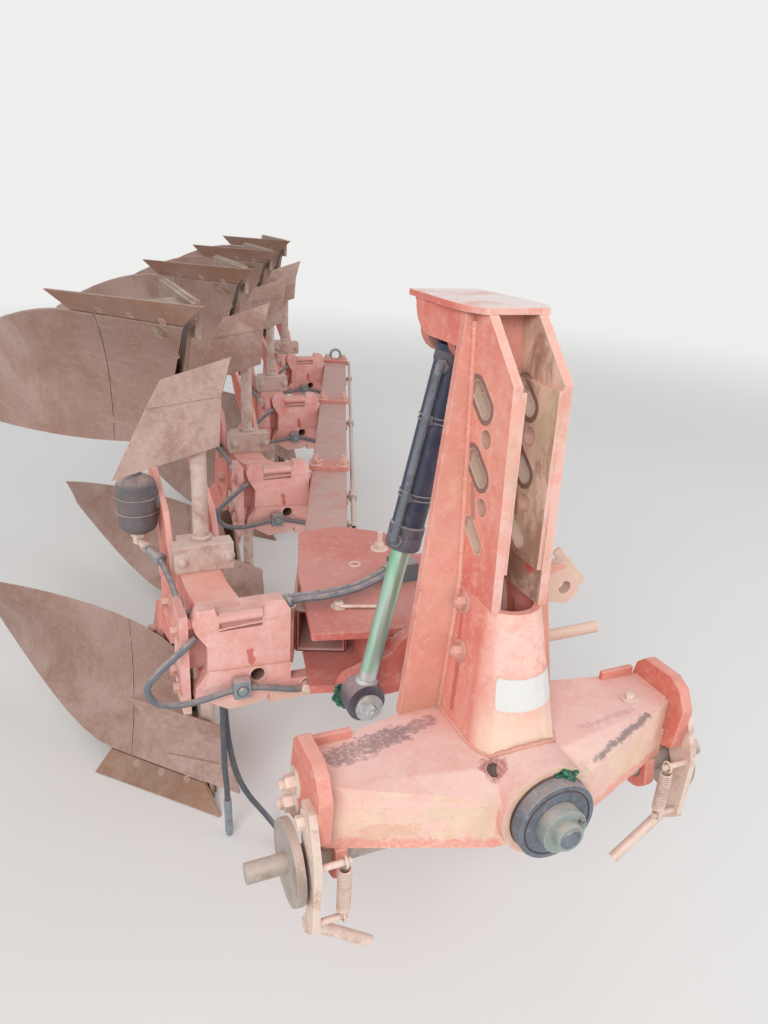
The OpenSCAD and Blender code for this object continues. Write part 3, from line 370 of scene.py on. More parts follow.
def dull_metal(name, base, worn, dirt, roughness, metallic, shift, patch=0.05, dust=0.5, scuff=0.5,
               stretch=(1, 1, 1)):
    """Bare or thinly painted metal, or rubber, with worn rims, stains, scuffs, dust, and painted shade in
    corners.
    """
    graph = Graph(name, shift)
    coat, span = graph.coat, graph.span
    broad = graph.patches(patch, 6, 0.65, 0.4)
    small = graph.patches(patch * 0.2, 6, 0.7, 0, 3, stretch)
    graph.colour = graph.mix(span(broad, 0.42, 0.72), base, dirt)
    coat(graph.edges(0.003), 0.7, worn)
    coat(span(small, 0.54, 0.68), scuff, worn)
    coat(graph.times(graph.turned("Z", 0.2, 0.9), span(broad, 0.3, 0.6, 0.2, 1.0)), dust, DUST_PALE)
    # Painted shade: corners and overhangs are darkened in dirt colour.
    coat(span(graph.corners(0.025), 0.3, 0.8), 0.5, GRIME_AND_SHADE)
    graph.finish(span(small, 0.3, 0.7, roughness - 0.1, roughness + 0.15), metallic=metallic, bumps=(
        (small, 0.0006, 0.5), (graph.patches(0.0025, 3, 0.6, 0, 9), 0.0003, 0.5)))


# Turnover ram: it leans from its upper pin to the eye of its rod.
LEAN = math.radians(11.6)
RAM_PIN = Vector((0, 0.5, 1.5))
ram_down = Vector((-math.sin(LEAN), 0, -math.cos(LEAN)))
ROD_FOOT = 0.778


def down_ram(distance):
    """A place on the ram's middle line, counted from its upper pin."""
    return at(*(RAM_PIN + ram_down * distance))


def chrome_rod(name):
    """A polished rod with a greenish tint in long bands of painted reflection, a few dry specks and a pale
    foot.
    """
    graph = Graph(name)
    # Painted reflection: the rod's two greens lie in long bands along it, as reflections would.
    bands = graph.patches(0.03, 3, 0.5, 0.0, 4, (1, 1, 0.05))
    foot = tuple(RAM_PIN + ram_down * ROD_FOOT)
    graph.colour = graph.mix(graph.span(bands, 0.4, 0.6), "b6d4c6", "92caa4")
    graph.coat(graph.span(graph.patches(0.006, 4, 0.7, 0, 8), 0.66, 0.74), 0.5, "ccccbe")
    at_foot = graph.span(graph.from_line(foot, foot), 0.04, 0.036)
    graph.colour = graph.mix(at_foot, graph.colour, "ced2d4")
    graph.finish(graph.span(bands, 0.35, 0.65, 0.28, 0.42), metallic=0.6, bumps=(
        (graph.patches(0.004, 3, 0.6, 0, 12), 0.0001, 0.3),))


def wet_grease(name):
    """Green grease, dark where it is thick and glossy all over."""
    graph = Graph(name)
    lumps = graph.patches(0.006, 5, 0.65, 0.6, 2)
    graph.colour = graph.mix(graph.span(lumps, 0.42, 0.68), "0e382c", "2e8c68")
    graph.finish(graph.span(lumps, 0.3, 0.7, 0.16, 0.32), ((lumps, 0.002, 0.8),))


def dry_soil(name):
    """Crumbly dried soil and dust."""
    graph = Graph(name)
    crumbs = graph.patches(0.008, 6, 0.7, 0.4, 6)
    graph.colour = graph.mix(graph.span(crumbs, 0.35, 0.65), "7a6252", "b09c8a")
    graph.coat(graph.span(graph.patches(0.04, 5, 0.6, 0, 16), 0.45, 0.65), 0.5, "ccbeac")
    graph.finish(0.95, ((crumbs, 0.003, 0.9),), specular=0.2)


def blank_sticker(name):
    """A white sticker with a little dirt along its rim and faint scratches."""
    graph = Graph(name)
    film_and_front_light = graph.patches(0.03, 5, 0.6, 0.3, 3)
    graph.colour = graph.mix(graph.times(graph.span(film_and_front_light, 0.55, 0.75), 0.4), "deddda", "cec5ba")
    graph.coat(graph.edges(0.004), 0.5, "beaa98")
    graph.finish(graph.span(film_and_front_light, 0.3, 0.7, 0.35, 0.55), ((film_and_front_light, 0.0002, 0.3),))


TOWER_TOP = 1.558
BEAM_TOP = 0.802
BACK_LOW, BACK_HIGH = 0.29, 0.345
SLOT_TILT = math.radians(40)
SLOT_HALF = 0.021
SLOT_BEFORE_BACK = 0.0345


def back_y(z):
    """Front face of the leaning back plate at a height."""
    return BACK_LOW + (BACK_HIGH - BACK_LOW) * (z - BEAM_TOP) / (TOWER_TOP - BEAM_TOP)


# Marks on the paint: a line from place to place, its reach, how ragged it is, its colour and strength. The
# tower's go through both side plates: rings rubbed round slots and holes, and dark streaks below them.
tower_marks = []
for drop, ringed in ((0.141, True), (0.261, True), (0.385, False)):
    slot_z = TOWER_TOP - drop
    slot_y = back_y(slot_z) - SLOT_BEFORE_BACK
    ends = [(None, slot_y + end * math.cos(SLOT_TILT), slot_z + end * math.sin(SLOT_TILT))
            for end in (-SLOT_HALF, SLOT_HALF)]
    if ringed:
        tower_marks.append((*ends, 0.0275, 0.0012, "70544c", 0.9))
    tower_marks.append((*ends, 0.0178, 0.0001, "ceb8a4", 0.8))
for y, z in ((0.272, 1.354), (0.263, 1.232)):
    tower_marks.append(((None, y, z), (None, y, z), 0.017, 0.0001, "c49c8a", 0.75))
for y, z, reach, length, tint in (
        (0.3, 1.262, 0.007, 0.055, "967468"), (0.2825, 1.022, 0.006, 0.075, "be5c4c"),
        (0.2611, 0.93, 0.007, 0.1, "b65446")):
    tower_marks.append(((None, y, z), (None, y - 0.012, z - length), reach, 0.004, tint, 0.7))
RED_SPOT = (0.05, 0.232, 1.118)
tower_marks.append((RED_SPOT, RED_SPOT, 0.016, 0.006, "d64232", 0.8))

CROSSBEAM_MARKS = (
    ((-0.333, 0.216, 0.802), (-0.2, 0.24, 0.802), 0.024, 0.018, "90787a", 0.85),
    ((-0.24, 0.232, 0.802), (-0.128, 0.256, 0.802), 0.016, 0.016, "967c7e", 0.8),
    ((0.302, 0.133, 0.796), (0.132, 0.071, 0.785), 0.007, 0.009, "807272", 0.85),
    ((0.28, 0.155, 0.802), (0.15, 0.14, 0.802), 0.006, 0.01, "c49692", 0.6),
    ((-0.0757, 0.1016, 0.798), (-0.07, 0.095, 0.796), 0.022, 0.014, "9e483e", 0.8),
    ((-0.372, 0.15, 0.668), (-0.092, 0.048, 0.668), 0.02, 0.014, "e89282", 0.85),
    ((0.372, 0.15, 0.668), (0.092, 0.048, 0.668), 0.02, 0.014, "e89282", 0.85),
    ((-0.372, 0.15, 0.764), (-0.092, 0.048, 0.764), 0.007, 0.008, "f0c4ba", 0.8),
    ((-0.112, 0.052, 0.7), (-0.108, 0.05, 0.76), 0.016, 0.014, "cebe9c", 0.5),
    ((-0.15, 0.068, 0.745), (-0.2, 0.086, 0.75), 0.012, 0.014, "d8c6a4", 0.5),
    ((-0.3, 0.124, 0.7), (-0.23, 0.098, 0.71), 0.016, 0.016, "e0aa90", 0.7),
    ((0.05, 0.02, 0.83), (0.1, 0.05, 0.8), 0.028, 0.016, "c6b096", 0.6))
BACK_MARKS = [(first, second, reach, 0.004, "e2c8b6", 0.85) for first, second, reach in (
    ((0.14, 0.4, 0.839), (0.38, 0.4, 0.839), 0.03),
    ((0.235, 0.4, 0.965), (0.262, 0.4, 0.966), 0.048),
    ((0.24, 0.412, 1.04), (0.32, 0.412, 0.955), 0.03))]

# Each housing has a red scrape on its front, and painted shade inside its two holes, which are coloured dark.
HOLE_SHADE = "3a2a28"
CASTING_MARKS = [
    (*[(x + FURROW * station, y + PITCH * station, z) for x, y, z in ends], reach, ragged, tint, amount)
    for station in range(STATIONS) for ends, reach, ragged, tint, amount in (
        (((-0.371, 0.682, 0.752), (-0.366, 0.682, 0.722)), 0.007, 0.007, "c85244", 0.8),
        (((-0.355, 0.684, 0.69), (-0.355, 0.82, 0.69)), 0.0174, 0.0, HOLE_SHADE, 0.9),
        (((-0.233, 0.684, 0.639), (-0.233, 0.82, 0.639)), 0.0174, 0.0, HOLE_SHADE, 0.9))]

worn_paint("tower_paint", "d66c5c", "e49280", "eeb8a6", 1, 0.45, 0.5, 0.3, ("e8c4ba", "ceb29a", 0.75),
           inside=True, marks=tower_marks)
worn_paint("tower_front_paint", "d86e5e", "e28a7a", "eeb4a4", 5, 0.45, 0.4, 0.25,
           ("f4c8bc", "f0c0b0", 0.92), ("f0d6c0", 0.93, 0.83, 0.8), marks=tower_marks)
worn_paint("tower_back_paint", "d68070", "e6a092", "ecbcaa", 7, 0.5, 0.4, 0.6,
           ("ecb2a0", "dcb892", 0.35), ("c88e76", 0.92, 0.81, 0.7), marks=BACK_MARKS)
worn_paint("tower_cap_paint", "d66454", "de8070", "e8b2a6", 8, 0.3, 1, 0.3,
           ("eec4ba", "e4aa9c", 0.8), top_tint="eadeda")
worn_paint("crossbeam_paint", "d88074", "e6aaa0", "f2d0c8", 9, 0.5, 0.65, 0.35,
           ("ecceb8", "e4c4a4", 0.9), marks=CROSSBEAM_MARKS, top_tint="eecec6")
worn_paint("end_plate_paint", "cc5846", "d87a68", "eab4a6", 15, 0.4, 0.6, 0.35, ("e6a090", "de8c7c", 0.5))
worn_paint("frame_paint", "ca6054", "d4847a", "dea89e", 21, 0.45, 0.4, 0.4, top_tint="c8968c")
worn_paint("beam_paint", "c8685c", "ce887e", "dcaca2", 25, 0.5, 0.85, 0.45, top_tint="baa29a")
worn_paint("casting_paint", "e0887e", "f0b6ae", "f8d8d2", 33, 0.6, 0.6, 0.45,
           ("f0bab0", "e6a094", 0.35), ("d6b6a0", 0.65, 0.615, 0.7), marks=CASTING_MARKS,
           top_tint="cea094")
worn_paint("leg_paint", "de6858", "e68e80", "f0baac", 45, 0.45, 0.8, 0.45, ("e6b2a6", "da968a", 0.6))
for look in (
        ("board_steel", "9c7d71", "b2968c", "926c5b", "74584d", 3, (0.2, 0.2, 1)),
        ("share_steel", "906e5c", "a28274", "946448", "684c40", 15),
        ("skimmer_steel", "a88a80", "c4a89e", "946c5c", "7c5f55", 39, (1, 1, 1), 0.2),
        ("frog_steel", "8c7062", "aa9486", "8e604a", "685046", 27, (1, 1, 1), 0.8)):
    soil_steel(*look)
for look in (
        ("stem_steel", "ceb8ae", "e2d4ca", "b08e82", 0.6, 0.1, 2),
        ("worn_bright_steel", "b2a8a0", "d4ccc4", "9c8676", 0.5, 0.25, 8),
        ("pale_steel", "e2ccbe", "f2e4da", "c4a090", 0.55, 0.15, 10, 0.03),
        ("bolt_steel", "d69e90", "eac6b8", "b07062", 0.6, 0.05, 12, 0.02),
        ("slate_steel", "707884", "a8aeb6", "58585e", 0.5, 0.2, 14, 0.06, 0.3),
        ("nut_steel", "9aa4a2", "bec4c0", "8c9284", 0.55, 0.2, 16, 0.03),
        ("barrel_paint", "384258", "6c7284", "4e4e5c", 0.42, 0.1, 20, 0.05, 0.25, 0.35, (1, 1, 0.4)),
        ("eye_paint", "686470", "94929c", "524c54", 0.5, 0.1, 22, 0.03, 0.4),
        ("zinc_steel", "ccd2d4", "e8eae8", "a4a6a4", 0.4, 0.35, 24, 0.012, 0.2),
        ("hose_rubber", "606a76", "a8acae", "746e6a", 0.6, 0, 32, 0.02, 0.35),
        ("dark_hose_rubber", "4e545e", "92969a", "625e5c", 0.6, 0, 34, 0.03, 0.25, 0.35),
        ("fitting_steel", "8a9aa4", "c6ccce", "888078", 0.45, 0.3, 36, 0.02),
        ("tank_paint", "686468", "969292", "7e6c64", 0.55, 0.1, 38),
        # Painted shade: the dark colour laid in recesses, grooves and gaps.
        ("painted_recess_shade", "362624", "60463e", "46322c", 0.85, 0, 44, 0.05, 0.1, 0.2)):
    dull_metal(*look)
chrome_rod("rod_chrome")
wet_grease("green_grease")
dry_soil("dried_soil")
blank_sticker("blank_label")

# The CAD nodes that each material is on, after the width of their rounded edges.
NODE_LOOKS = {
    "tower_paint": (0.003, "tower_plates"),
    "tower_front_paint": (0.003, "tower_front"),
    "tower_back_paint": (0.003, "tower_back_plate"),
    "tower_cap_paint": (0.003, "tower_cap"),
    "crossbeam_paint": (0.004, "crossbeam"),
    "end_plate_paint": (0.003, "end_plates", "shaft_hangers"),
    "frame_paint": (0.003, "turnover_head", "frame_plates", "beam_clamps", "stand_bracket", "stand_leg"),
    "beam_paint": (0.006, "main_beam"),
    "casting_paint": (0.007, "reset_housing_1", "reset_housing_2", "reset_housing_3", "reset_housing_4"),
    "leg_paint": (0.003, "reset_legs"),
    "board_steel": (0.0012, "mouldboards", "shins"),
    "share_steel": (0.0012, "shares"),
    "skimmer_steel": (0.0012, "skimmers"),
    "frog_steel": (0.0012, "frogs", "landsides"),
    "stem_steel": (0.002, "skimmer_stems", "skimmer_clamps"),
    "worn_bright_steel": (0.0015, "cross_shaft", "ram_top_pin", "stand_pin", "beam_pipe"),
    "pale_steel": (0.003, "latch_levers"),
    "slate_steel": (0.002, "turnover_shaft", "thrust_disc", "ram_pipe"),
    "nut_steel": (0.003, "shaft_nut"),
    "fitting_steel": (0.0012, "hose_fittings"),
    "barrel_paint": (0.003, "ram_barrel"),
    "eye_paint": (0.003, "ram_eye"),
    "rod_chrome": (0.0012, "ram_rod"),
    "hose_rubber": (0.0012, "reset_hoses", "feed_hoses"),
    "tank_paint": (0.0012, "accumulators"),
}
ROUND_FROM = math.radians(32)
for key, (edge_width, *names) in NODE_LOOKS.items():
    for name in names:
        node = NODES[name]
        node.data.materials.clear()
        node.data.materials.append(MATERIALS[key])
        if "custom_normal" in node.data.attributes:
            node.data.attributes.remove(node.data.attributes["custom_normal"])
        node.data.shade_smooth()
        node.modifiers.new("joined_faces", "WELD").merge_threshold = 0.00002
        rounding = node.modifiers.new("rounded_edges", "BEVEL")
        rounding.width = edge_width
        rounding.segments = 2
        rounding.limit_method = "ANGLE"
        rounding.angle_limit = ROUND_FROM
        node.modifiers.new("flat_faces", "WEIGHTED_NORMAL").weight = 50
for hose_piece in hose_pieces:
    hose_piece.data.materials.append(MATERIALS["dark_hose_rubber"])


def aimed(direction, spin=0.0):
    """A turn that brings Z to the direction."""
    pose = Vector(direction).normalized().to_track_quat("Z", "Y").to_matrix().to_4x4()
    return pose @ Matrix.Rotation(spin, 4, "Z")


def spaced(path, step):
    """The path's points, filled in so that they lie about step apart."""
    out = []
    for a, b in zip(path, path[1:]):
        count = max(1, round((b - a).length / step))
        out += [a.lerp(b, k / count) for k in range(count)]
    return out + [path[-1]]


def circle(count, spin=0.0):
    """Cosine and sine of angles evenly round a circle."""
    angles = [2 * math.pi * k / count + spin for k in range(count)]
    return [(math.cos(a), math.sin(a)) for a in angles]


PIECES = []


class Piece:
    """One mesh of turned, bent and cut shapes. Edges that turn by more than sharp degrees stay crisp."""

    def __init__(self, name, slot, material, body="plough_frame", sharp=34):
        self.name, self.body, self.slot, self.material, self.sharp = name, body, slot, material, sharp
        self.shape = bmesh.new()
        PIECES.append(self)

    def skin(self, rings, closed=False):
        """Joins rings of points into a tube, with capped ends unless it is closed."""
        made = [[self.shape.verts.new(point) for point in ring] for ring in rings]
        count = len(made[0])
        for one, two in list(zip(made, made[1:])) + ([(made[-1], made[0])] if closed else []):
            for k in range(count):
                n = (k + 1) % count
                self.shape.faces.new((one[k], one[n], two[n], two[k]))
        if not closed:
            self.shape.faces.new(made[0][::-1])
            self.shape.faces.new(made[-1])

    def turned(self, place, direction, profile, sides=20, spin=0.0):
        """A turned shape: profile holds pairs of distance along the direction and radius."""
        pose = Matrix.Translation(place) @ aimed(direction)
        self.skin([[pose @ Vector((radius * c, radius * s, distance)) for c, s in circle(sides, spin)]
                   for distance, radius in profile])

    def tube(self, path, radius, sides=8, closed=False):
        """A round tube along a path. radius is one number or one for each point."""
        count = len(path)
        radii = radius if isinstance(radius, list) else [radius] * count
        side = None
        rings = []
        for i in range(count):
            before = path[(i - 1) % count] if closed or i else path[0]
            after = path[(i + 1) % count] if closed or i < count - 1 else path[-1]
            course = (after - before).normalized()
            side = side or course.orthogonal().normalized()
            side = (side - course * side.dot(course)).normalized()
            over = course.cross(side)
            rings.append([path[i] + (side * c + over * s) * radii[i] for c, s in circle(sides)])
        self.skin(rings, closed)

    def ring(self, place, direction, radius, wire, steps=24, sides=8):
        """A closed ring of round wire."""
        pose = Matrix.Translation(place) @ aimed(direction)
        self.tube([pose @ Vector((radius * c, radius * s, 0)) for c, s in circle(steps)], wire, sides, True)

    def bead(self, path, radius, step=0.006, seed=0):
        """A weld along a path, with the ripples that a welder leaves."""
        line = spaced(path, step)
        wave = random.Random(seed)
        radii = [radius * (0.82 + 0.3 * (i % 2) + 0.16 * wave.random()) for i in range(len(line))]
        self.tube(line, radii, 7)

    def clump(self, place, size, seed=0, direction=UP):
        """A lump of soil or grease, flat below."""
        made = bmesh.ops.create_icosphere(self.shape, subdivisions=3, radius=1.0)
        pose = Matrix.Translation(place) @ aimed(direction, seed * 1.7)
        offset = Vector((seed * 3.1, seed * 1.7, seed * 2.3))
        for vert in made["verts"]:
            rough = 0.4 * noise.noise(vert.co * 1.3 + offset) + 0.12 * noise.noise(vert.co * 3.5 + offset)
            co = vert.co * (1 + rough)
            co.z = max(co.z, -0.25)
            vert.co = pose @ Vector([part * span for part, span in zip(co, size)])

    def box(self, low, high, bevel=0.002):
        """A block between two corners, with rounded edges."""
        made = bmesh.ops.create_cube(self.shape, size=1.0)
        low, high = Vector(low), Vector(high)
        for vert in made["verts"]:
            vert.co = (low + high) / 2 + vert.co * (high - low)
        edges = list({edge for vert in made["verts"] for edge in vert.link_edges})
        bmesh.ops.bevel(self.shape, geom=edges, offset=bevel, segments=2, affect="EDGES", profile=0.6)

    def sheet(self, rows, back):
        """A thin plate: rows of points on its face, and its thickness as a vector to the back."""
        wide, tall = len(rows[0]), len(rows)
        front = [[self.shape.verts.new(point) for point in row] for row in rows]
        rear = [[self.shape.verts.new(point + back) for point in row] for row in rows]
        for i in range(tall - 1):
            for j in range(wide - 1):
                self.shape.faces.new((front[i][j], front[i][j + 1], front[i + 1][j + 1], front[i + 1][j]))
                self.shape.faces.new((rear[i][j], rear[i + 1][j], rear[i + 1][j + 1], rear[i][j + 1]))
        border = [(0, j) for j in range(wide)] + [(i, wide - 1) for i in range(1, tall)]
        border += [(tall - 1, j) for j in range(wide - 2, -1, -1)] + [(i, 0) for i in range(tall - 2, 0, -1)]
        for (i, j), (m, n) in zip(border, border[1:] + border[:1]):
            self.shape.faces.new((front[i][j], rear[i][j], rear[m][n], front[m][n]))

    def bolt(self, place, direction, across, washer=True, stud=0.0):
        """A hexagon head or nut with a washer, and the end of its stud if it shows."""
        thick = across * 0.12 if washer else 0.0
        if washer:
            self.turned(place, direction, [
                (-0.001, across * 0.98), (thick * 0.7, across * 0.98), (thick, across * 0.9)], 24)
        radius = across / 2 / math.cos(math.radians(30))
        height = across * 0.62
        base = Vector(place) + Vector(direction).normalized() * thick
        self.turned(base, direction, [
            (-0.001, radius), (height * 0.82, radius), (height, radius * 0.86)], 6, 0.3)
        if stud:
            self.turned(base, direction, [
                (height - 0.002, across * 0.32), (height + stud - 0.003, across * 0.32),
                (height + stud, across * 0.24)], 16)

    def flush_bolt(self, place, direction, radius):
        """A countersunk plough bolt, worn level with the plate, with its rim standing a little proud."""
        self.turned(place, direction, [
            (-0.002, radius), (0.0009, radius), (0.0016, radius * 0.9), (0.0007, radius * 0.8),
            (0.0009, radius * 0.3)])

    def done(self):
        """Makes the object, riding on its body."""
        bmesh.ops.recalc_face_normals(self.shape, faces=self.shape.faces)
        mesh = bpy.data.meshes.new(self.name)
        self.shape.to_mesh(mesh)
        self.shape.free()
        mesh.shade_smooth()
        mesh.set_sharp_from_angle(angle=math.radians(self.sharp))
        mesh.materials.append(MATERIALS[self.material])
        made = show(self.name, mesh)
        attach(made, self.body)


SKINS = {}


def seat(node, place, side):
    """The nearest place on a node's surface, and the normal there turned to one side."""
    if node not in SKINS:
        mesh = NODES[node].data
        SKINS[node] = BVHTree.FromPolygons([vert.co for vert in mesh.vertices],
                                           [poly.vertices for poly in mesh.polygons])
    spot, normal, _, _ = SKINS[node].find_nearest(place)
    return spot, (normal if normal.dot(side) > 0 else -normal)


def bodies():
    """Every plough body: its station and whether it is in the upper row."""
    return [(station, upper) for station in range(STATIONS) for upper in (False, True)]


# Headstock: bolts, welds, the blank label, plug, grease, end plates' bolts, ribs and the latches' springs.
PLATE_X = 0.0575
FOOT_X = 0.0875
THROAT_Z = 1.06
NOSE_LOW, NOSE_HIGH = 0.095, 0.168
NOSE_FLAT = 20


def nose_half(z):
    """Half width of the tower at a height."""
    share = min(max((z - BEAM_TOP) / (THROAT_Z - BEAM_TOP), 0.0), 1.0)
    return FOOT_X + (PLATE_X - FOOT_X) * share


def nose_spot(angle, z, out=0.0):
    """A drawing place on the tower's rounded front, which is made of flats NOSE_FLAT degrees wide."""
    width = nose_half(z) + out
    front = NOSE_LOW + (NOSE_HIGH - NOSE_LOW) * (z - BEAM_TOP) / (THROAT_Z - BEAM_TOP) - out
    low = math.floor(angle / NOSE_FLAT) * NOSE_FLAT
    first, last = [Vector((width * math.cos(a), front + 0.9 * width * (1 + math.sin(a)), z))
                   for a in (math.radians(low), math.radians(low + NOSE_FLAT))]
    return first.lerp(last, (angle - low) / NOSE_FLAT)


tower_bolts = Piece("tower_bolts", "paint", "bolt_steel", "headstock")
for mirror in MIRRORS:
    for y, z in ((0.2825, 1.0355), (0.2611, 0.9438)):
        tower_bolts.bolt(at(mirror * nose_half(z), y, z), (mirror * 0.993, 0, 0.116), 0.023, stud=0.004)

BOSS_R = 0.092
FOOT_BACK = 0.288
welds = Piece("headstock_welds", "paint", "tower_back_paint", "headstock", sharp=60)
for mirror in MIRRORS:
    back_edge = [at(mirror * (nose_half(z) + 0.001), back_y(z) - 0.001, z)
                 for z in [0.806 + 0.0184 * k for k in range(41)]]
    welds.bead(back_edge, 0.0065, seed=3 + mirror)
    welds.bead([at(mirror * 0.372, 0.154, 0.668), at(mirror * 0.372, 0.152, 0.735)], 0.005, seed=5 + mirror)
    welds.bead([at(mirror * 0.371, y, BEAM_TOP - 0.001) for y in (0.16, 0.256)], 0.005, seed=7 + mirror)
foot = [at(-FOOT_X, FOOT_BACK, BEAM_TOP)]
for degrees in range(180, 361, 10):
    spot = nose_spot(degrees, BEAM_TOP + 0.001)
    rise = math.sqrt(BOSS_R ** 2 - spot.x ** 2) if abs(spot.x) < BOSS_R else 0.0
    foot.append(at(spot.x, spot.y, max(BEAM_TOP, SHAFT_Z + rise)))
foot.append(at(FOOT_X, FOOT_BACK, BEAM_TOP))
welds.bead(foot, 0.0045, seed=11)

LABEL_LOW, LABEL_HIGH = 0.889, 0.947
LABEL_FROM, LABEL_TO = 221, 334
LABEL_STEPS = 30
label = Piece("blank_label", "paint", "blank_label", "headstock", sharp=50)
label_rows = []
for height, trim in ((0.0, 2.5), (0.12, 0.0), (0.5, 0.0), (0.88, 0.0), (1.0, 2.5)):
    z = LABEL_LOW + (LABEL_HIGH - LABEL_LOW) * height
    wide = LABEL_TO - 2 * trim - LABEL_FROM
    label_rows.append([at(*nose_spot(LABEL_FROM + trim + wide * k / LABEL_STEPS, z, 0.0012))
                       for k in range(LABEL_STEPS + 1)])
label.sheet(label_rows, Vector((0, 0.0008, 0)))

# The grease plug is drawn dark: its rim, and a disc of painted shade in its recess.
plug = Piece("grease_plug", "dark_steel", "painted_recess_shade", "headstock")
plug_place = at(-0.0755, 0.0981, 0.7964)
plug_way = Vector((-0.06, -0.45, 0.89))
plug.ring(plug_place + plug_way * 0.001, plug_way, 0.0105, 0.0028)
plug.turned(plug_place, plug_way, [(-0.002, 0.008), (0.0012, 0.008), (0.0016, 0.004)], 12)

grease = Piece("shaft_grease", "dark_steel", "green_grease", "headstock", sharp=80)
for k, (x, z, size) in enumerate(((0.014, 0.817, 0.011), (0.027, 0.817, 0.014), (0.04, 0.812, 0.011),
                                  (0.02, 0.8225, 0.009))):
    grease.clump(at(x, 0.027, z), (size * 1.2, size * 0.6, size * 0.42), k, (0, -0.4, 1))

end_bolts = Piece("end_plate_bolts", "worn_steel", "pale_steel", "headstock")
for mirror in MIRRORS:
    for y, z in ((0.236, 0.752), (0.246, 0.7)):
        end_bolts.bolt(at(mirror * 0.398, y, z), (mirror, 0, 0), 0.03, stud=0.01)
    end_bolts.bolt(at(mirror * 0.412, 0.14, 0.752), (mirror, 0, 0), 0.022)
end_bolts.bolt(at(0.2964, 0.1845, BEAM_TOP), UP, 0.018)

ribs = Piece("wing_ribs", "paint", "end_plate_paint", "headstock")
for low_x, high_x in ((-0.366, -0.285), (0.285, 0.366)):
    ribs.box(at(low_x, 0.258, 0.77), at(high_x, 0.27, 0.82))

COIL_X, COIL_Y, COIL_LOW, COIL_HIGH = 0.352, 0.1, 0.57, 0.664
COIL_R, COIL_WIRE, COIL_TURNS, COIL_STEPS = 0.0108, 0.0022, 19, 12
springs = Piece("latch_coils", "worn_steel", "pale_steel", "headstock", sharp=60)
for mirror in MIRRORS:
    coil = []
    for k in range(COIL_TURNS * COIL_STEPS + 1):
        a = 2 * math.pi * k / COIL_STEPS
        coil.append(at(mirror * COIL_X + COIL_R * math.cos(a), COIL_Y + COIL_R * math.sin(a),
                       COIL_LOW + (COIL_HIGH - COIL_LOW) * k / (COIL_TURNS * COIL_STEPS)))
    springs.tube(coil, COIL_WIRE, 6)
    for z in (0.68, 0.556):
        springs.ring(at(mirror * COIL_X, COIL_Y, z), (1, 0, 0), 0.0105, COIL_WIRE, 20, 6)

# Turnover ram: gland and collar of the barrel, ports and clamps of its pipe, the rod's collar and nut.
PIPE_TURN = math.radians(40)
ram_out = Matrix.Rotation(LEAN, 3, "Y") @ Vector((-math.cos(PIPE_TURN), -math.sin(PIPE_TURN), 0))
gland = Piece("ram_gland", "barrel_paint", "eye_paint", "ram_barrel_body")
gland.turned(down_ram(0.398), ram_down, [
    (0.0, 0.0342), (0.003, 0.0372), (0.024, 0.0372), (0.027, 0.0358), (0.03, 0.0372), (0.05, 0.0372),
    (0.054, 0.0345), (0.0545, 0.0222)], 32)
gland.turned(down_ram(0.04), ram_down, [(0.0, 0.03), (0.004, 0.0362), (0.02, 0.0362), (0.024, 0.0342)], 32)

ports = Piece("ram_ports", "dark_steel", "slate_steel", "ram_barrel_body")
for distance in (0.07, 0.43):
    ports.turned(down_ram(distance) + ram_out * 0.032, ram_out, [
        (0.0, 0.0145), (0.011, 0.0145), (0.014, 0.012)], 6)
CLAMP_HALF = Vector((0.008, 0.008, 0.009))
for distance in (0.17, 0.33):
    for wire_at in (distance, distance + 0.01):
        ports.ring(down_ram(wire_at), ram_down, 0.0352, 0.0018, 32, 6)
    middle = down_ram(distance + 0.005) + ram_out * 0.045
    ports.box(middle - CLAMP_HALF, middle + CLAMP_HALF)

neck = Piece("rod_neck", "worn_steel", "zinc_steel", "ram_rod_body")
neck.turned(down_ram(0.7665), ram_down, [
    (0.0, 0.0202), (0.001, 0.0238), (0.004, 0.025), (0.0115, 0.025)], 24)
eye_front = down_ram(0.816) + Vector((0, -0.042, 0))
neck.turned(eye_front, FRONT, [(-0.002, 0.031), (0.004, 0.031), (0.006, 0.028)], 28)
neck.bolt(eye_front + Vector((0, -0.006, 0)), FRONT, 0.026, False, 0.006)

# Turnover shaft: the nut's lock plate with its screw, and dark rings as painted shade in the disc's groove
# and in the gap behind it.
lock = Piece("nut_lock", "dark_steel", "slate_steel")
lock.turned(at(0, -0.0395, SHAFT_Z), FRONT, [
    (-0.002, 0.02), (0.0015, 0.02), (0.003, 0.0185), (0.003, 0.009)], 24)
lock.bolt(at(0.03, -0.0238, SHAFT_Z + 0.018), FRONT, 0.01, False)

# Painted shade: dark rings in the disc's groove and in the gap between disc and boss.
groove_shade = Piece("disc_groove_shade", "dark_steel", "painted_recess_shade", sharp=60)
for y, radius, wire in ((-0.0004, 0.066, 0.0012), (0.0275, 0.0755, 0.003)):
    groove_shade.ring(at(0, y, SHAFT_Z), FRONT, radius, wire, 56, 6)

# Frame head: the clamping bolts through both plates, the lock pin lying on the upper one, and grease.
head = Piece("frame_head_bolts", "worn_steel", "pale_steel")
for upper in (False, True):
    way = facing(DOWN, upper)
    for x, y, across, stud in (
            (0.071, 0.976, 0.026, 0.034), (-0.15, 0.7, 0.02, 0), (0.12, 0.65, 0.02, 0)):
        head.bolt(along((x, y, 0.66), 0, upper), way, across, stud=stud)
    head.ring(along((-0.031, 0.903, 0.66), 0, upper), way, 0.014, 0.003)
pin_line = ((-0.15, 0.69, 0.826), (-0.131, 0.683, 0.826), (-0.06, 0.661, 0.826), (-0.048, 0.66, 0.828),
            (-0.044, 0.664, 0.834))
head.tube(smooth([at(*point) for point in pin_line], 4), 0.0045)

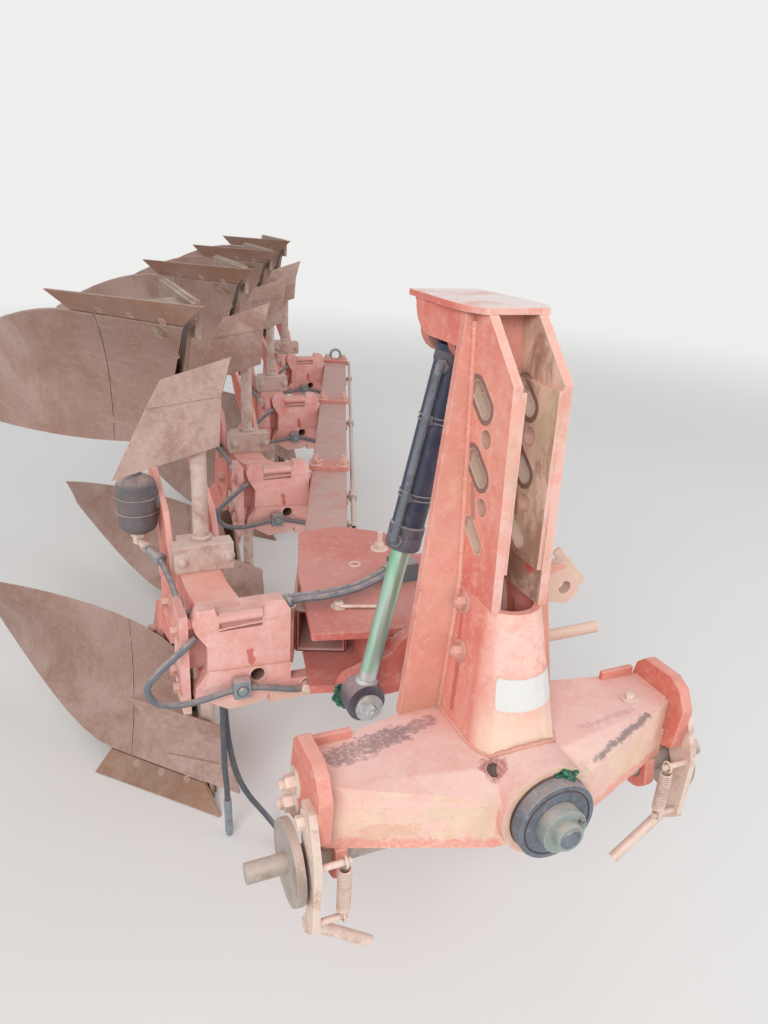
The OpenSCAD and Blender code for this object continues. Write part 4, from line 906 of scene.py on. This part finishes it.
arm_grease = Piece("arm_grease", "dark_steel", "green_grease", sharp=80)
for k, (x, z, size) in enumerate(((-0.204, 0.7, 0.014), (-0.21, 0.686, 0.012), (-0.2, 0.672, 0.013),
                                  (-0.19, 0.662, 0.01), (-0.207, 0.713, 0.009))):
    arm_grease.clump(at(x, 0.5335, z), (size, size, size * 0.35), 20 + k, FRONT)

# Beam: clamp bolts, welds and the small pipe bow at its rear end.
BEAM_ANGLE = math.atan2(FURROW, PITCH)
BEAM_START = Vector((-0.225, 0.617, 0))


def on_beam(across, distance, z):
    """A place beside or on the main beam, counted along it."""
    x = BEAM_START.x + across * math.cos(BEAM_ANGLE) + distance * math.sin(BEAM_ANGLE)
    y = BEAM_START.y - across * math.sin(BEAM_ANGLE) + distance * math.cos(BEAM_ANGLE)
    return at(x, y, z)


beam_bolts = Piece("beam_clamp_bolts", "worn_steel", "bolt_steel")
for station in (1, 2, 3):
    clamp_from = station * PITCH / math.cos(BEAM_ANGLE) + 0.15
    for across in (-0.05, 0.05):
        for distance in (0.022, 0.068):
            for z, way, stud in ((0.815, UP, 0.006), (0.665, DOWN, 0.0)):
                beam_bolts.bolt(on_beam(across, clamp_from + distance, z), way, 0.026, stud=stud)

beam_welds = Piece("frame_welds", "paint", "beam_paint", sharp=60)
for z in (0.8005, 0.6795):
    for across in (-0.065, 0.065):
        beam_welds.bead([on_beam(across, 0.16, z), on_beam(across, 0.5, z)], 0.005, seed=int(z * 100))
flange = ((-0.086, 0.0), (-0.06, 0.062), (0.0, 0.087), (0.06, 0.062), (0.086, 0.0))
beam_welds.bead([at(x, 0.5625, SHAFT_Z + rise) for x, rise in flange], 0.006, seed=31)

bow = Piece("beam_pipe_bow", "worn_steel", "fitting_steel")
bow.tube(smooth([on_beam(*place) for place in (
    (-0.03, 3.26, 0.797), (-0.03, 3.26, 0.835), (-0.02, 3.262, 0.856), (0.0, 3.264, 0.864),
    (0.02, 3.262, 0.856), (0.03, 3.26, 0.835), (0.03, 3.26, 0.797))], 5), 0.008, 10)
for across in (-0.03, 0.03):
    bow.turned(on_beam(across, 3.26, 0.798), UP, [(0.0, 0.015), (0.018, 0.015), (0.021, 0.012)], 6)

# Reset housings: bar between the knuckles, rims, casting seams, side bolts, hose clip and end fitting, and a
# dark disc of painted shade deep in one hole.
HOUSING_X, HOUSING_Y = -0.387, 0.68
castings = Piece("housing_castings", "paint", "casting_paint", sharp=50)
housing_bolts = Piece("housing_bolts", "worn_steel", "bolt_steel")
clips = Piece("hose_clips", "dark_steel", "fitting_steel")
ends = Piece("hose_ends", "worn_steel", "pale_steel")
shadows = Piece("housing_hole_shade", "dark_steel", "painted_recess_shade")


def on_housing(station, *places, y=HOUSING_Y - 0.001):
    """Places on the front of a housing, given across from its middle and as a height."""
    return [along((HOUSING_X + across, y, z), station) for across, z in places]


for station in range(STATIONS):
    castings.tube(on_housing(station, (-0.052, 0.846), (0.046, 0.846), y=HOUSING_Y + 0.006), 0.0125, 14)
    castings.ring(along((HOUSING_X + 0.032, HOUSING_Y - 0.0055, 0.69), station), FRONT, 0.0195, 0.0032, 28)
    castings.ring(along((-0.233, HOUSING_Y - 0.0075, 0.639), station), FRONT, 0.019, 0.0026, 28)
    upper_seam = on_housing(station, (-0.1, 0.812), (-0.03, 0.822), (0.104, 0.828))
    castings.bead(smooth(upper_seam), 0.0022, 0.012, station)
    side_seam = on_housing(station, (-0.066, 0.7), (-0.052, 0.676), (-0.066, 0.652))
    castings.bead(side_seam, 0.0024, 0.008, station + 5)
    for y, z in ((0.718, 0.812), (0.752, 0.69), (0.712, 0.668)):
        housing_bolts.bolt(along((-0.525, y, z), station), (-1, 0, 0), 0.022)
    clips.box(along((-0.417, 0.6435, 0.65), station), along((-0.377, 0.67, 0.696), station), 0.005)
    clips.turned(along((-0.397, 0.644, 0.673), station), FRONT, [
        (0.0, 0.0105), (0.004, 0.0105), (0.006, 0.008)], 18)
    ends.turned(along((-0.236, 0.678, 0.6388), station), (0.25, 1, 0), [
        (-0.03, 0.009), (-0.028, 0.0118), (-0.004, 0.0118), (-0.002, 0.0135), (0.01, 0.0135)], 18)
    # Painted shade: a dark disc inside the hole.
    shadows.turned(along((HOUSING_X + 0.032, 0.7355, 0.69), station), FRONT, [
        (0.0, 0.0168), (0.0015, 0.0168)], 24)

# Accumulators: bands, neck fittings and couplings along their hoses, and the nuts of the free hoses' glands,
# up against the underside of the first leg's head.
TANK_X, TANK_Y, TANK_Z = -0.548, 1.19, 0.94
tanks = Piece("accumulator_bands", "tank_grey", "tank_paint")
couplings = Piece("hose_couplings", "worn_steel", "fitting_steel")
collars = Piece("accumulator_fittings", "worn_steel", "pale_steel")
for station in range(STATIONS):
    for offset in (-0.02, 0.022):
        tanks.ring(along((TANK_X, TANK_Y, TANK_Z + offset), station), UP, 0.0525, 0.0022, 36, 6)
    for piece, place, way, profile, sides in (
            (tanks, (TANK_X, TANK_Y, TANK_Z + 0.083), UP, [(0.0, 0.016), (0.012, 0.016), (0.015, 0.012)], 18),
            (collars, (TANK_X, TANK_Y, TANK_Z - 0.084), DOWN, [
                (0.0, 0.021), (0.01, 0.021), (0.012, 0.0165), (0.03, 0.0165)], 6),
            (collars, (TANK_X + 0.005, TANK_Y - 0.02, 0.8335), (0.25, -0.95, -0.05), [
                (-0.004, 0.0125), (0.018, 0.0125), (0.02, 0.0145), (0.034, 0.0145)], 18),
            (couplings, (-0.528, 1.121, 0.8285), (0.33, -0.94, -0.1), [
                (-0.004, 0.01), (0.0, 0.0138), (0.034, 0.0138), (0.037, 0.0165), (0.052, 0.0165),
                (0.056, 0.0105)], 18),
            (couplings, (-0.499, 0.89, 0.7982), (0, -1, -0.06), [
                (0.0, 0.0095), (0.002, 0.0125), (0.034, 0.0125), (0.036, 0.0095)], 18)):
        piece.turned(along(place, station), way, profile, sides)
for beside in (0.0, 0.02):
    couplings.turned(at(-0.272, 0.742 + beside, 0.824), (0.73, -0.66, 0.6), [
        (-0.004, 0.0125), (0.022, 0.0125), (0.026, 0.0095)], 16)
    couplings.turned(at(0.034, 0.79 + beside, 0.85), (-0.86, -0.54, 0), [
        (-0.006, 0.0145), (0.012, 0.0145), (0.014, 0.0118), (0.034, 0.0118)], 16)
for x, y, z in ((-0.406, 0.836, 0.632), (-0.396, 0.866, 0.636)):
    couplings.turned(at(x, y, z), UP, [(0.0, 0.0132), (0.002, 0.0155), (0.0165, 0.0155)], 6)

# Legs and skimmer clamps: their bolts.
LEG_X, LEG_OUT = -0.424, 0.068
leg_bolts = Piece("leg_bolts", "worn_steel", "bolt_steel")
clamp_bolts = Piece("skimmer_clamp_bolts", "worn_steel", "stem_steel")
for station, upper in bodies():
    for y, z in ((1.428, 0.29), (1.462, 0.392), (1.08, 0.69)):
        for side in MIRRORS:
            leg_bolts.bolt(along((LEG_X + side * LEG_OUT, y, z), station, upper), (side, 0, 0), 0.03)
    for x in (-0.47, -0.354):
        clamp_bolts.bolt(along((x, 0.976, 0.624), station, upper), FRONT, 0.019, stud=0.005)
    clamp_bolts.turned(along((-0.412, 1.022, 0.5885), station, upper), facing(DOWN, upper), [
        (-0.002, 0.0245), (0.01, 0.0245), (0.013, 0.0215)], 24)

# Boards: plough bolts worn flush, and the skimmers' own points over their plates.
PLOUGH_BOLTS = (
    ("shins", (-0.502, 1.363, 0.332), 0.0105), ("shins", (-0.455, 1.3, 0.3), 0.0105),
    ("shins", (-0.43, 1.19, 0.15), 0.0115), ("shins", (-0.52, 1.27, 0.14), 0.0115),
    ("mouldboards", (-0.576, 1.453, 0.377), 0.0105), ("mouldboards", (-0.64, 1.4, 0.2), 0.0115),
    ("mouldboards", (-0.61, 1.45, 0.3), 0.0095),
    ("shares", (-0.467, 1.117, 0.053), 0.0115), ("shares", (-0.534, 1.182, 0.046), 0.0115),
    ("shares", (-0.6, 1.25, 0.044), 0.0115),
    ("skimmers", (-0.437, 0.987, 0.202), 0.013), ("skimmers", (-0.385, 0.966, 0.193), 0.013),
    ("skimmers", (-0.5, 1.006, 0.222), 0.011))
TOWARDS_SOIL = (-0.4, -1, 0.35)
plough_bolts = Piece("plough_bolts", "share_steel", "board_steel")
for station, upper in bodies():
    for node_name, place, radius in PLOUGH_BOLTS:
        where, outward = seat(node_name, along(place, station, upper), facing(TOWARDS_SOIL, upper))
        plough_bolts.flush_bolt(where, outward, radius)

POINT_LOW = Vector((-0.341, 0.944, 0.107)), Vector((-0.494, 1.014, 0.17))
POINT_HIGH = Vector((-0.363, 0.958, 0.2)), Vector((-0.53, 1.026, 0.24))
POINT_OUT = Vector((-0.28, -0.93, 0)) * 0.0045
points = Piece("skimmer_points", "share_steel", "skimmer_steel")
for station, upper in bodies():
    rows = []
    for k in range(5):
        near, far = [low.lerp(high, k / 4) for low, high in zip(POINT_LOW, POINT_HIGH)]
        row = [near.lerp(far, 0.01 + 0.98 * j / 8) + POINT_OUT for j in range(9)]
        rows.append([along(place, station, upper) for place in row])
    points.sheet(rows, -POINT_OUT * 0.9)

# Dried soil that stuck to the upper bodies when they last worked, beside the shin and on the frog.
SOIL_PLACES = (
    ("shins", (-0.452, 1.15, 0.07)), ("shins", (-0.47, 1.16, 0.095)), ("frogs", (-0.36, 1.2, 0.085)),
    ("frogs", (-0.38, 1.26, 0.11)), ("landsides", (-0.385, 1.3, 0.096)), ("frogs", (-0.42, 1.32, 0.13)))
soil = Piece("dried_soil", "share_steel", "dried_soil", sharp=70)
chance = random.Random(7)
for station in range(STATIONS):
    for k, (node_name, place) in enumerate(SOIL_PLACES):
        size = 0.016 + 0.012 * chance.random()
        where, outward = seat(node_name, along(place, station, True), Vector((0.3, -0.3, 1)))
        soil.clump(where, (size * 1.5, size, size * 0.28), station * 7 + k, outward)

# Parking stand: spring clip on its hinge pin and a weld round its foot.
stand_clip = Piece("stand_clip", "worn_steel", "pale_steel")
stand_clip.ring(at(0.509, 1.008, 0.712), (0.3, 1, 0), 0.02, 0.0022, 24, 6)
LEG_HALF = 0.03
stand_weld = Piece("stand_weld", "paint", "frame_paint", "parking_stand", sharp=60)
corners = [(-1, -1), (1, -1), (1, 1), (-1, 1), (-1, -1)]
stand_weld.bead([at(0.45 + x * LEG_HALF, 1 + y * LEG_HALF, 0.009) for x, y in corners], 0.005, seed=41)

for piece in PIECES:
    piece.done()
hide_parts("latch_springs")

# Stage: a pale floor that fades into the background, with soft light from above the viewer's left.
FLOOR_HALF = 60.0
FLOOR_PALE, FLOOR_DULL = (0.84, 0.835, 0.825, 1), (0.8, 0.795, 0.785, 1)
FADE_FROM, FADE_TO = 4.0, 11.0
BACKGROUND = (0.86, 0.86, 0.85, 1)
WORLD_LIGHT = 0.67
floor_mesh = bpy.data.meshes.new("floor")
floor_mesh.from_pydata([(x * FLOOR_HALF, y * FLOOR_HALF, 0) for x, y in corners[:4]], [], [(0, 1, 2, 3)])
floor = show("floor", floor_mesh)
floor.location.z = -0.001
floor_graph = Graph("floor_pale")
floor_graph.colour = floor_graph.mix(floor_graph.patches(1.5, 3), FLOOR_PALE, FLOOR_DULL)
floor_graph.finish(0.9)
floor_mesh.materials.append(floor_graph.material)


def shown_rays(tree):
    """1 for rays that see the background: from the camera, or mirrored or let through."""
    rays = add_node(tree, "LightPath").outputs
    total = rays["Is Camera Ray"]
    for name in ("Is Glossy Ray", "Is Transmission Ray"):
        total = add_node(tree, "Math", {0: total, 1: rays[name]}, operation="MAXIMUM").outputs[0]
    return total


far_off = floor_graph.add("VectorMath", {0: floor_graph.place.outputs["Object"]}, operation="LENGTH")
far_share = floor_graph.span(far_off.outputs["Value"], FADE_FROM, FADE_TO)
fade = floor_graph.times(far_share, shown_rays(floor_graph.tree))
glow = floor_graph.add("Emission", {"Color": BACKGROUND})
faded = floor_graph.add("MixShader", {0: fade, 1: floor_graph.shader.outputs[0], 2: glow.outputs[0]})
feed(floor_graph.tree, floor_graph.output.inputs["Surface"], faded.outputs[0])

world = bpy.data.worlds.new("studio")
bpy.context.scene.world = world
world.use_nodes = True
sky = world.node_tree
sky.nodes.clear()
light = add_node(sky, "Background", {"Color": (0.98, 0.99, 1.0, 1), "Strength": WORLD_LIGHT})
shown = add_node(sky, "Background", {"Color": BACKGROUND})
mixed = add_node(sky, "MixShader", {0: shown_rays(sky), 1: light.outputs[0], 2: shown.outputs[0]})
add_node(sky, "OutputWorld", {"Surface": mixed.outputs[0]})


def lamp(name, place, target, size, power, colour):
    """A square soft light that looks from place at target."""
    data = bpy.data.lights.new(name, "AREA")
    data.shape = "SQUARE"
    data.size = size
    data.energy = power
    data.color = colour
    made = show(name, data)
    made.location = place
    made.rotation_euler = (Vector(target) - Vector(place)).to_track_quat("-Z", "Y").to_euler()


lamp("key_light", (-3.5, -6.5, 4.5), (0, -0.8, 0.8), 3.0, 235, (1.0, 0.99, 0.97))
lamp("fill_light", (5.0, -5.0, 3.5), (0, -0.5, 0.8), 4.0, 80, (0.97, 0.99, 1.0))
